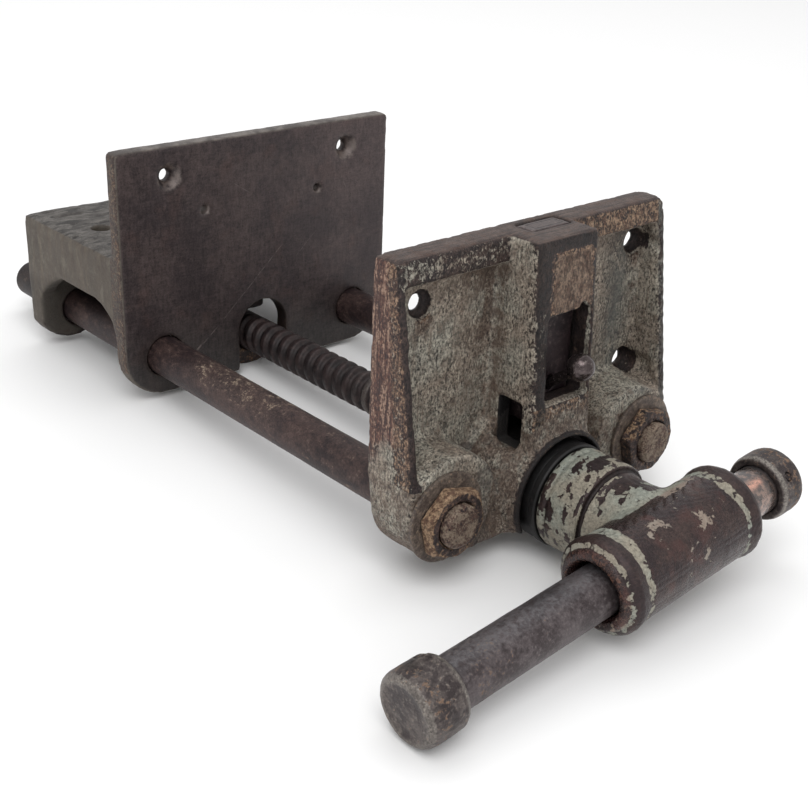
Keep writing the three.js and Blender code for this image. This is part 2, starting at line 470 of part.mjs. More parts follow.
  // handle bar with a pinned cap on each end
  const bar = latheGeo([[0, BAR_LEFT + 2], [BAR_R - 1, BAR_LEFT + 2], [BAR_R, BAR_LEFT + 3], [BAR_R, BAR_RIGHT - 3],
    [BAR_R - 1, BAR_RIGHT - 2], [0, BAR_RIGHT - 2]], 32);
  const capPin = (t, r, len) => place(new THREE.CylinderGeometry(r, r, len, 14).rotateX(Math.PI / 2)
    .rotateY(t < 0 ? -0.55 : 0.9).translate(0, t, 0));
  const tl = BAR_LEFT + CAP_L_LEFT - 4.5, tr = BAR_RIGHT - CAP_L_RIGHT + 6.5;
  piece('handle_bar', solid(place(bar)).subtract(solid(capPin(tl, 2 + GAP, 60))).subtract(solid(capPin(tr, 2 + GAP, 60))), STEEL);
  const cap = (s) => {
    const e = s < 0 ? BAR_LEFT : BAR_RIGHT, len = s < 0 ? CAP_L_LEFT : CAP_L_RIGHT, drop = s < 0 ? 1.6 : 0.9;
    const y = (d) => e - s * d;          // d measured from the cap's end face inwards
    const pts = [[0, y(0)], [CAP_R - 2.2, y(0)], [CAP_R - 0.4, y(1.8)], [CAP_R, y(4)], [CAP_R, y(len - 2.6)],
      [CAP_R - drop, y(len)], [BAR_R + GAP, y(len)], [BAR_R + GAP, y(1.7)], [0, y(1.7)]];
    return solid(place(latheGeo(pts, 28))).subtract(solid(capPin(s < 0 ? tl : tr, 2 + GAP, 60)));
  };
  piece('handle_cap_left', cap(-1), STEEL);
  piece('handle_cap_right', cap(1), STEEL);
  piece('cap_pin_left', solid(capPin(tl, 2, 2 * CAP_R - 1.4)), DARK);
  piece('cap_pin_right', solid(capPin(tr, 2, 2 * CAP_R - 1.4)), DARK);
}

// origin: centre of the flange's upper face
root.position.set(0, -58, -FLANGE_TOP);
root.updateMatrixWorld(true);
const vise = new THREE.Group();
vise.name = 'bench_vise';
vise.add(root);
vise.updateMatrixWorld(true);
export default vise;
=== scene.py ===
import math

import bpy
import numpy as np
from mathutils import Matrix, Vector


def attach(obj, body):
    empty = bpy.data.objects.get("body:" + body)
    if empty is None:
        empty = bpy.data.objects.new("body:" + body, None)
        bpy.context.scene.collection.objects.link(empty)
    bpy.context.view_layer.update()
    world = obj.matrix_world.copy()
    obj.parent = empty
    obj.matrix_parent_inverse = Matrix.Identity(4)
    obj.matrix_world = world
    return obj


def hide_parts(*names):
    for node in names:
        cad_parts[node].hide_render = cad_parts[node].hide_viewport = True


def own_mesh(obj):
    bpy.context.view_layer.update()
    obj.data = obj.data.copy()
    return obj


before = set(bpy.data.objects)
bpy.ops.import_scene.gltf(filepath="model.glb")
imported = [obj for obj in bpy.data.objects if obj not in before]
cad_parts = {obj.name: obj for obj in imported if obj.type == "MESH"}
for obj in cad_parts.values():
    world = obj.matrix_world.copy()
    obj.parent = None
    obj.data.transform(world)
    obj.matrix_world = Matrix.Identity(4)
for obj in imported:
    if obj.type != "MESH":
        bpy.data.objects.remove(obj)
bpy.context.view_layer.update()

SHIFT = np.array([0.0, -58.0, 56.0])
SCREW_Z, ROD_X, ROD_Z = -117.9, 64.5, -112.8
HANDLE_O = np.array([0.0, -288.5, -117.9])
TURN = math.radians(5.4)
HANDLE_DIR = np.array([math.cos(TURN), 0.0, math.sin(TURN)])
HANDLE_UP = np.array([-math.sin(TURN), 0.0, math.cos(TURN)])
BACK = np.array([0.0, 1.0, 0.0])


# ------------------------------------------------------------------ numbers
def smooth(a, b, x):
    t = np.clip((np.asarray(x, float) - a) / (b - a), 0.0, 1.0)
    return t * t * (3 - 2 * t)


def _lattice(ix, iy, iz, seed):
    h = (ix * 374761393 + iy * 668265263 + iz * 1440662683 + seed * 974711) & 0xFFFFFFFF
    h = ((h ^ (h >> 15)) * 2246822519) & 0xFFFFFFFF
    h = ((h ^ (h >> 13)) * 3266489917) & 0xFFFFFFFF
    return ((h ^ (h >> 16)) & 0xFFFFFF) / float(0xFFFFFF) * 2.0 - 1.0


def vnoise(p, scale, seed=0):
    """Smooth noise from -1 to 1 on points in millimetres, lumps `scale` long."""
    q = np.asarray(p, float) / np.asarray(scale, float) + 1000.0
    i = np.floor(q).astype(np.int64)
    f = q - i
    u = f * f * f * (f * (f * 6 - 15) + 10)
    out = np.zeros(len(q))
    for dx in (0, 1):
        wx = u[:, 0] if dx else 1 - u[:, 0]
        for dy in (0, 1):
            wy = u[:, 1] if dy else 1 - u[:, 1]
            for dz in (0, 1):
                wz = u[:, 2] if dz else 1 - u[:, 2]
                out += wx * wy * wz * _lattice(i[:, 0] + dx, i[:, 1] + dy, i[:, 2] + dz, seed)
    return out


def fbm(p, scale, octaves=3, seed=0, gain=0.5):
    s, a, total = np.zeros(len(p)), 1.0, 0.0
    sc = np.asarray(scale, float)
    for o in range(octaves):
        s += a * vnoise(p, sc, seed + 17 * o)
        total += a
        a *= gain
        sc = sc / 2.03
    return s / total


# ------------------------------------------------- grids from the CAD solids
def cad_mesh(name):
    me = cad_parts[name].data
    co = np.empty(len(me.vertices) * 3)
    me.vertices.foreach_get("co", co)
    me.calc_loop_triangles()
    tri = np.empty(len(me.loop_triangles) * 3, np.int32)
    me.loop_triangles.foreach_get("vertices", tri)
    return co.reshape(-1, 3) * 1000.0 - SHIFT, tri.reshape(-1, 3)


class Grid:
    """How full of metal each small cube of space is, from 0 to 1."""

    def __init__(self, lo, h, f):
        self.lo, self.h, self.f = lo, h, f

    def like(self, f):
        return Grid(self.lo, self.h, f)

    def centres(self):
        n = self.f.shape
        return [self.lo[k] + (np.arange(n[k]) + 0.5) * self.h for k in range(3)]

    def at(self, p):
        q = np.clip((p - self.lo) / self.h - 0.5, 0, np.array(self.f.shape) - 1.001)
        i = q.astype(int)
        t = q - i
        out = np.zeros(len(p))
        for dx in (0, 1):
            for dy in (0, 1):
                for dz in (0, 1):
                    w = (t[:, 0] if dx else 1 - t[:, 0]) * (t[:, 1] if dy else 1 - t[:, 1]) * (t[:, 2] if dz else 1 - t[:, 2])
                    out += w * self.f[i[:, 0] + dx, i[:, 1] + dy, i[:, 2] + dz]
        return out


def fill_grid(v, t, h, pad=6.0, ss=3):
    lo = v.min(0) - pad
    n = np.ceil((v.max(0) + pad - lo) / h).astype(int)
    q = (v - lo) / h
    fy, fz = q[:, 1] * ss - 0.5 + 0.000731, q[:, 2] * ss - 0.5 + 0.000417
    idx, wts = [], []
    for a, b, c in t:
        y = np.array([fy[a], fy[b], fy[c]])
        z = np.array([fz[a], fz[b], fz[c]])
        area = (y[1] - y[0]) * (z[2] - z[0]) - (y[2] - y[0]) * (z[1] - z[0])
        if abs(area) < 1e-9:
            continue
        j0, j1 = int(math.ceil(y.min())), int(math.floor(y.max()))
        k0, k1 = int(math.ceil(z.min())), int(math.floor(z.max()))
        if j1 < j0 or k1 < k0:
            continue
        jj, kk = np.meshgrid(np.arange(j0, j1 + 1), np.arange(k0, k1 + 1), indexing="ij")
        jj, kk = jj.ravel(), kk.ravel()
        w0 = ((y[1] - jj) * (z[2] - kk) - (y[2] - jj) * (z[1] - kk)) / area
        w1 = ((y[2] - jj) * (z[0] - kk) - (y[0] - jj) * (z[2] - kk)) / area
        w2 = 1 - w0 - w1
        m = (w0 >= 0) & (w1 >= 0) & (w2 >= 0)
        if not m.any():
            continue
        x = w0[m] * q[a, 0] + w1[m] * q[b, 0] + w2[m] * q[c, 0]
        s = -1.0 if area > 0 else 1.0
        i = np.floor(x).astype(int)
        fr = i + 1 - x
        base = (jj[m] // ss) * n[2] + kk[m] // ss
        idx += [i * n[1] * n[2] + base, (i + 1) * n[1] * n[2] + base]
        wts += [s * fr, s * (1 - fr)]
    d = np.bincount(np.concatenate(idx), np.concatenate(wts), minlength=(n[0] + 1) * n[1] * n[2])
    d = d[: (n[0] + 1) * n[1] * n[2]].reshape(n[0] + 1, n[1], n[2])
    f = np.cumsum(d, 0)[: n[0]] / ss**2
    return Grid(lo, h, np.clip(f, 0, 1).astype(np.float32))


def blur(f, s):
    r = max(1, int(math.ceil(2.6 * s)))
    k = np.exp(-0.5 * (np.arange(-r, r + 1) / s) ** 2)
    k = (k / k.sum()).astype(np.float32)
    for ax in range(3):
        g = np.zeros_like(f)
        n = f.shape[ax]
        for o, w in zip(range(-r, r + 1), k):
            a, b = max(0, o), min(n, n + o)
            if b <= a:
                continue
            dst, src = [slice(None)] * 3, [slice(None)] * 3
            dst[ax], src[ax] = slice(a - o, b - o), slice(a, b)
            g[tuple(dst)] += w * f[tuple(src)]
        f = g
    return f


def skin(g, iso=0.5):
    """Quads on the surface where the grid passes iso."""
    f = g.f
    s = f > iso
    nx, ny, nz = f.shape
    corner = [(dx, dy, dz) for dx in (0, 1) for dy in (0, 1) for dz in (0, 1)]
    cnt = np.zeros((nx - 1, ny - 1, nz - 1), np.int8)
    for dx, dy, dz in corner:
        cnt += s[dx : nx - 1 + dx, dy : ny - 1 + dy, dz : nz - 1 + dz]
    act = (cnt > 0) & (cnt < 8)
    ids = np.full(act.shape, -1, np.int64)
    cells = np.argwhere(act)
    ids[act] = np.arange(len(cells))
    acc = np.zeros((len(cells), 3))
    num = np.zeros(len(cells))
    for a in range(8):
        for b in range(a + 1, 8):
            ca, cb = np.array(corner[a]), np.array(corner[b])
            if np.abs(ca - cb).sum() != 1:
                continue
            pa, pb = cells + ca, cells + cb
            va = f[pa[:, 0], pa[:, 1], pa[:, 2]].astype(float)
            vb = f[pb[:, 0], pb[:, 1], pb[:, 2]].astype(float)
            m = (va > iso) != (vb > iso)
            t = np.where(m, (iso - va) / np.where(m, vb - va, 1.0), 0.0)
            acc[m] += (ca + t[:, None] * (cb - ca))[m]
            num[m] += 1
    p = g.lo + (cells + acc / num[:, None] + 0.5) * g.h
    quads = []
    for ax in range(3):
        u, w = [(1, 2), (2, 0), (0, 1)][ax]
        sl0, sl1 = [slice(None)] * 3, [slice(None)] * 3
        sl0[ax], sl1[ax] = slice(0, -1), slice(1, None)
        a, b = s[tuple(sl0)], s[tuple(sl1)]
        e = np.argwhere(a != b)
        ok = (e[:, u] > 0) & (e[:, w] > 0) & (e[:, u] < f.shape[u] - 1) & (e[:, w] < f.shape[w] - 1)
        e = e[ok]
        inside = a[e[:, 0], e[:, 1], e[:, 2]]
        q = []
        for du, dw in ((-1, -1), (0, -1), (0, 0), (-1, 0)):
            c = e.copy()
            c[:, u] += du
            c[:, w] += dw
            q.append(ids[c[:, 0], c[:, 1], c[:, 2]])
        q = np.stack(q, 1)
        q[~inside] = q[~inside][:, ::-1]
        quads.append(q)
    return p, np.concatenate(quads)


def normals(p, quads):
    d1, d2 = p[quads[:, 2]] - p[quads[:, 0]], p[quads[:, 3]] - p[quads[:, 1]]
    fn = np.cross(d1, d2)
    n = np.zeros_like(p)
    for k in range(4):
        for c in range(3):
            n[:, c] += np.bincount(quads[:, k], fn[:, c], minlength=len(p))
    return n / np.maximum(np.linalg.norm(n, axis=1), 1e-12)[:, None]


class Shape:
    """A surface with what its looks depend on: outer edges, hollows and shade."""

    def __init__(self, p, quads, tris=None):
        self.p, self.quads, self.tris = p, quads, tris
        self.n = None
        self.attr = {}


def cast(name, h, small, big=None, keep=None, ss=3, carve=None, shade=6.0):
    """The CAD solid as a casting: outer edges softened by `small` mm, inner
    corners filled by `big` mm except where keep(points) says not to."""
    v, t = cad_mesh(name)
    g = fill_grid(v, t, h, pad=3 + 2.2 * shade * 0.5, ss=ss)
    fs = blur(g.f, small / h)
    fb = blur(g.f, (big or 2.0) / h)
    fv = g.like(blur(g.f, shade / h))
    f = fs
    if big:
        w = 1.0
        if keep is not None:
            x, y, z = np.meshgrid(*g.centres(), indexing="ij")
            band = (fb > 0.3) & (fb < 0.8)
            w = np.ones(f.shape, np.float32)
            w[band] = 1 - keep(np.stack([x[band], y[band], z[band]], 1))
        f = np.maximum(fs, fb * w)
    if carve is not None:
        x, y, z = np.meshgrid(*g.centres(), indexing="ij")
        band = (f > 0.02) & (f < 0.98)
        c = np.stack([x[band], y[band], z[band]], 1)
        f = f.copy()
        f[band] = carve(c, f[band])
    p, q = skin(g.like(f))
    sh = Shape(p, q)
    sh.n = normals(p, q)
    b = g.like(fb).at(p)
    s = fv.at(p)
    sh.attr["edge"] = np.clip((0.5 - b) / 0.22, 0, 1)
    sh.attr["nook"] = np.clip((b - 0.5) / 0.2, 0, 1)
    sh.attr["shade"] = np.clip((s - 0.5) / 0.4, 0, 1)
    return sh


# ----------------------------------------------------------- turned surfaces
def rounded(pts, r, closed=False, n=4):
    """The profile with each corner rounded; a point may carry its own radius."""
    pts = [tuple(p) for p in pts]
    out = []
    m = len(pts)
    for i, p in enumerate(pts):
        rr = p[2] if len(p) > 2 else r
        if not closed and i in (0, m - 1) or rr <= 0:
            out.append(p[:2])
            continue
        a, b, c = (np.array(pts[(i + k) % m][:2], float) for k in (-1, 0, 1))
        u, w = a - b, c - b
        lu, lw = np.linalg.norm(u), np.linalg.norm(w)
        u, w = u / lu, w / lw
        ang = math.acos(np.clip(u @ w, -1, 1))
        if ang > math.pi - 0.02:
            out.append(p[:2])
            continue
        cut = min(rr / math.tan(ang / 2), lu * 0.48, lw * 0.48)
        s, e = b + u * cut, b + w * cut
        for k in range(n + 1):
            x = k / n
            out.append(tuple((1 - x) ** 2 * s + 2 * x * (1 - x) * b + x * x * e))
    return out


def dense(pts, step, closed=False):
    out = []
    m = len(pts)
    for i in range(m if closed else m - 1):
        a, b = np.array(pts[i], float), np.array(pts[(i + 1) % m], float)
        k = max(1, int(math.ceil(np.linalg.norm(b - a) / step)))
        out += [tuple(a + (b - a) * j / k) for j in range(k)]
    if not closed:
        out.append(tuple(pts[-1]))
    return out


def turned(pts, origin, axis, up, seg=64, r=0.4, step=2.0, closed=False, corner=4, twist=0.0):
    """A turned solid: pts are (radius, distance along axis)."""
    pts = dense(rounded(pts, r, closed, corner), step, closed)
    axis, up = np.asarray(axis, float), np.asarray(up, float)
    side = np.cross(axis, up)
    o = np.asarray(origin, float)
    rows, verts = [], []
    for rad, t in pts:
        if rad < 1e-6:
            rows.append(np.full(seg, len(verts)))
            verts.append(o + axis * t)
        else:
            a = np.arange(seg) / seg * 2 * math.pi + twist
            rows.append(len(verts) + np.arange(seg))
            ring = o + axis * t + rad * (np.cos(a)[:, None] * up + np.sin(a)[:, None] * side)
            verts += list(ring)
    v = np.array(verts)
    quads, tris = [], []
    n = len(rows)
    for i in range(n if closed else n - 1):
        a, b = rows[i], rows[(i + 1) % n]
        a2, b2 = np.roll(a, -1), np.roll(b, -1)
        if a[0] == a[-1]:
            tris.append(np.stack([a, b2, b], 1))
        elif b[0] == b[-1]:
            tris.append(np.stack([a, a2, b], 1))
        else:
            quads.append(np.stack([a, a2, b2, b], 1))
    quads = np.concatenate(quads)
    tris = np.concatenate(tris) if tris else np.zeros((0, 3), int)
    # turn the faces outwards
    c = v.mean(0)
    vol = np.einsum("ij,ij->i", v[quads[:, 0]] - c, np.cross(v[quads[:, 1]] - c, v[quads[:, 2]] - c)).sum()
    vol += np.einsum("ij,ij->i", v[quads[:, 0]] - c, np.cross(v[quads[:, 2]] - c, v[quads[:, 3]] - c)).sum()
    if vol < 0:
        quads, tris = quads[:, ::-1], tris[:, ::-1]
    sh = Shape(v, quads, tris)
    sh.n = normals(v, quads)
    return sh


def join(*shapes):
    p = np.concatenate([s.p for s in shapes])
    k, quads, tris, at = 0, [], [], {}
    names = sorted({a for s in shapes for a in s.attr})
    for s in shapes:
        quads.append(s.quads + k)
        if s.tris is not None and len(s.tris):
            tris.append(s.tris + k)
        k += len(s.p)
    for a in names:
        at[a] = np.concatenate([s.attr.get(a, np.zeros(len(s.p))) for s in shapes])
    out = Shape(p, np.concatenate(quads), np.concatenate(tris) if tris else None)
    out.n = np.concatenate([s.n for s in shapes])
    out.attr = at
    return out


def tube(line, r, sides=10, caps=True):
    """A wire of radius r along the points of `line`."""
    line = np.asarray(line, float)
    t = np.gradient(line, axis=0)
    t /= np.linalg.norm(t, axis=1)[:, None]
    ref = np.array([0.0, 0.0, 1.0])
    u = np.cross(t, ref)
    u /= np.maximum(np.linalg.norm(u, axis=1), 1e-9)[:, None]
    w = np.cross(t, u)
    a = np.arange(sides) / sides * 2 * math.pi
    rr = np.full(len(line), r) if np.isscalar(r) else np.asarray(r)
    v = (line[:, None, :] + rr[:, None, None] * (np.cos(a)[None, :, None] * u[:, None, :] + np.sin(a)[None, :, None] * w[:, None, :])).reshape(-1, 3)
    m = len(line)
    i = np.arange((m - 1) * sides).reshape(m - 1, sides)
    quads = np.stack([i, i + sides, np.roll(i, -1, 1) + sides, np.roll(i, -1, 1)], -1).reshape(-1, 4)
    tris = []
    if caps:
        v = np.concatenate([v, line[:1], line[-1:]])
        c0, c1 = len(v) - 2, len(v) - 1
        ring = np.arange(sides)
        tris = np.concatenate([np.stack([np.full(sides, c0), ring, np.roll(ring, -1)], 1),
                               np.stack([np.full(sides, c1), (m - 1) * sides + np.roll(ring, -1), (m - 1) * sides + ring], 1)])
    sh = Shape(v, quads[:, ::-1], tris[:, ::-1] if len(tris) else None)
    sh.n = normals(v, sh.quads)
    return sh


def build(name, sh, body, nodes, mat):
    """Makes the Blender object, in metres in the frame, and ties it to the CAD."""
    me = bpy.data.meshes.new(name)
    v = ((sh.p + SHIFT) * 0.001).astype(np.float32)
    q = np.asarray(sh.quads, np.int32)
    t = np.asarray(sh.tris, np.int32) if sh.tris is not None and len(sh.tris) else np.zeros((0, 3), np.int32)
    me.vertices.add(len(v))
    me.vertices.foreach_set("co", v.ravel())
    me.loops.add(q.size + t.size)
    me.loops.foreach_set("vertex_index", np.concatenate([q.ravel(), t.ravel()]))
    me.polygons.add(len(q) + len(t))
    start = np.concatenate([np.arange(len(q)) * 4, q.size + np.arange(len(t)) * 3]).astype(np.int32)
    me.polygons.foreach_set("loop_start", start)
    me.polygons.foreach_set("use_smooth", np.ones(len(q) + len(t), bool))
    me.update(calc_edges=True)
    for a, x in sh.attr.items():
        at = me.attributes.new(a, "FLOAT", "POINT")
        at.data.foreach_set("value", np.asarray(x, np.float32))
    me.materials.append(mat)
    o = bpy.data.objects.new(name, me)
    bpy.context.scene.collection.objects.link(o)
    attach(o, body)
    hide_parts(*nodes)
    return o


# ---------------------------------------------------------------- materials
def C(r, g, b):
    """A colour given as it looks on a screen, 0 to 255, as linear light."""
    return tuple(((x / 255) / 12.92 if x / 255 <= 0.04045 else ((x / 255 + 0.055) / 1.055) ** 2.4) for x in (r, g, b)) + (1.0,)


class Mat:
    def __init__(self, name):
        self.m = bpy.data.materials.new(name)
        self.m.use_nodes = True
        self.t = self.m.node_tree
        self.t.nodes.clear()
        self.k = 0
        out = self.node("ShaderNodeOutputMaterial")
        self.b = self.node("ShaderNodeBsdfPrincipled")
        self.t.links.new(self.b.outputs[0], out.inputs[0])
        self.tc = self.node("ShaderNodeTexCoord")
        p = self.node("ShaderNodeVectorMath")
        p.operation = "MULTIPLY_ADD"
        self.t.links.new(self.tc.outputs["Object"], p.inputs[0])
        p.inputs[1].default_value = (1000, 1000, 1000)
        p.inputs[2].default_value = tuple(-SHIFT)
        self.P = p.outputs[0]
        self.N = self.tc.outputs["Normal"]

    def node(self, kind):
        n = self.t.nodes.new(kind)
        n.location = (self.k % 12 * 180, -(self.k // 12) * 220)
        self.k += 1
        return n

    def put(self, sock, x):
        if isinstance(x, bpy.types.NodeSocket):
            self.t.links.new(x, sock)
        elif x is not None:
            sock.default_value = x

    def math(self, op, a, b=None, c=None, clamp=False):
        n = self.node("ShaderNodeMath")
        n.operation, n.use_clamp = op, clamp
        for i, x in enumerate((a, b, c)):
            if x is not None:
                self.put(n.inputs[i], x)
        return n.outputs[0]

    def add(self, *xs):
        s = xs[0]
        for x in xs[1:]:
            s = self.math("ADD", s, x)
        return s

    def mul(self, *xs):
        s = xs[0]
        for x in xs[1:]:
            s = self.math("MULTIPLY", s, x)
        return s

    def sub(self, a, b):
        return self.math("SUBTRACT", a, b)

    def clip(self, x):
        return self.math("ADD", x, 0.0, clamp=True)

    def vec(self, op, a, b=None, out=0):
        n = self.node("ShaderNodeVectorMath")
        n.operation = op
        self.put(n.inputs[0], a)
        if b is not None:
            self.put(n.inputs[3] if op == "SCALE" else n.inputs[1], b)
        return n.outputs[out]

    def xyz(self, v=None):
        n = self.node("ShaderNodeSeparateXYZ")
        self.put(n.inputs[0], v or self.P)
        return n.outputs

    def attr(self, name):
        n = self.node("ShaderNodeAttribute")
        n.attribute_name = name
        return n.outputs["Fac"]

    def noise(self, scale, detail=3.0, rough=0.5, dist=0.0, squeeze=None, off=None, vec=None):
        v = vec or self.P
        if squeeze is not None:
            v = self.vec("MULTIPLY", v, tuple(squeeze))
        if off is not None:
            v = self.vec("ADD", v, tuple(off))
        n = self.node("ShaderNodeTexNoise")
        self.t.links.new(v, n.inputs["Vector"])
        n.inputs["Scale"].default_value = 1.0 / scale
        n.inputs["Detail"].default_value = detail
        n.inputs["Roughness"].default_value = rough
        n.inputs["Distortion"].default_value = dist
        return n.outputs["Fac"]

    def cells(self, scale, feature="F1", rand=1.0, squeeze=None, off=None, out="Distance"):
        v = self.P
        if squeeze is not None:
            v = self.vec("MULTIPLY", v, tuple(squeeze))
        if off is not None:
            v = self.vec("ADD", v, tuple(off))
        n = self.node("ShaderNodeTexVoronoi")
        n.feature = feature
        self.t.links.new(v, n.inputs["Vector"])
        n.inputs["Scale"].default_value = 1.0 / scale
        n.inputs["Randomness"].default_value = rand
        return n.outputs[out], n.outputs["Color"] if "Color" in n.outputs else None

    def ramp(self, x, a, b, lo=0.0, hi=1.0):
        n = self.node("ShaderNodeMapRange")
        n.interpolation_type = "SMOOTHSTEP"
        self.put(n.inputs["Value"], x)
        for k, v in (("From Min", a), ("From Max", b), ("To Min", lo), ("To Max", hi)):
            self.put(n.inputs[k], v)
        return n.outputs[0]

    def mix(self, f, a, b, mode="MIX"):
        n = self.node("ShaderNodeMix")
        n.data_type, n.blend_type = "RGBA", mode
        self.put(n.inputs[0], f)
        self.put(n.inputs[6], a)
        self.put(n.inputs[7], b)
        return n.outputs[2]

    def lerp(self, f, a, b):
        n = self.node("ShaderNodeMix")
        n.data_type = "FLOAT"
        self.put(n.inputs[0], f)
        self.put(n.inputs[2], a)
        self.put(n.inputs[3], b)
        return n.outputs[0]

    def shadeby(self, col, f):
        """The colour times a number."""
        if isinstance(col, tuple):
            if isinstance(f, float):
                return tuple(c * f for c in col[:3]) + (1.0,)
            col = col[:3]
        n = self.node("ShaderNodeVectorMath")
        n.operation = "SCALE"
        self.put(n.inputs[0], col)
        self.put(n.inputs[3], f)
        return n.outputs[0]

    def specks(self, size, share, depth_off=(0, 0, 0), soft=0.12):
        """Spots of about `size` mm in `share` of the cells, from 0 to 1."""
        d, c = self.cells(size * 2.4, off=depth_off)
        r = self.xyz(c)
        rad = self.ramp(r[0], 1 - share, 1.0, 0.0, 0.42)
        wob = self.mul(self.sub(self.noise(size * 0.9, 2.0, off=depth_off), 0.5), 0.35)
        return self.ramp(self.sub(rad, self.add(d, wob)), 0.0, soft)

    def line(self, a, b, half, soft, wob=0.6, plane=(0, 2)):
        """A scratch from a to b (two coordinates each, mm), 0 to 1."""
        q = self.xyz()
        u, w = q[plane[0]], q[plane[1]]
        dx, dz = b[0] - a[0], b[1] - a[1]
        ln = math.hypot(dx, dz)
        dx, dz = dx / ln, dz / ln
        u, w = self.sub(u, a[0]), self.sub(w, a[1])
        t = self.add(self.mul(u, dx), self.mul(w, dz))
        s = self.add(self.mul(u, -dz), self.mul(w, dx))
        s = self.add(s, self.mul(self.sub(self.noise(14.0, 1.0), 0.5), wob * 2))
        s = self.math("ABSOLUTE", s)
        m = self.ramp(s, half, half + soft, 1.0, 0.0)
        return self.mul(m, self.ramp(t, 0, 4), self.ramp(t, ln - 6, ln, 1.0, 0.0))

    def finish(self, color, rough, metal, height=None, coat=None, spec=None):
        self.put(self.b.inputs["Base Color"], color)
        self.put(self.b.inputs["Roughness"], rough)
        self.put(self.b.inputs["Metallic"], metal)
        if spec is not None:
            self.b.inputs["Specular IOR Level"].default_value = spec
        if height is not None:
            n = self.node("ShaderNodeBump")
            n.inputs["Strength"].default_value = 1.0
            n.inputs["Distance"].default_value = 0.001
            self.put(n.inputs["Height"], height)
            self.t.links.new(n.outputs[0], self.b.inputs["Normal"])
        return self.m


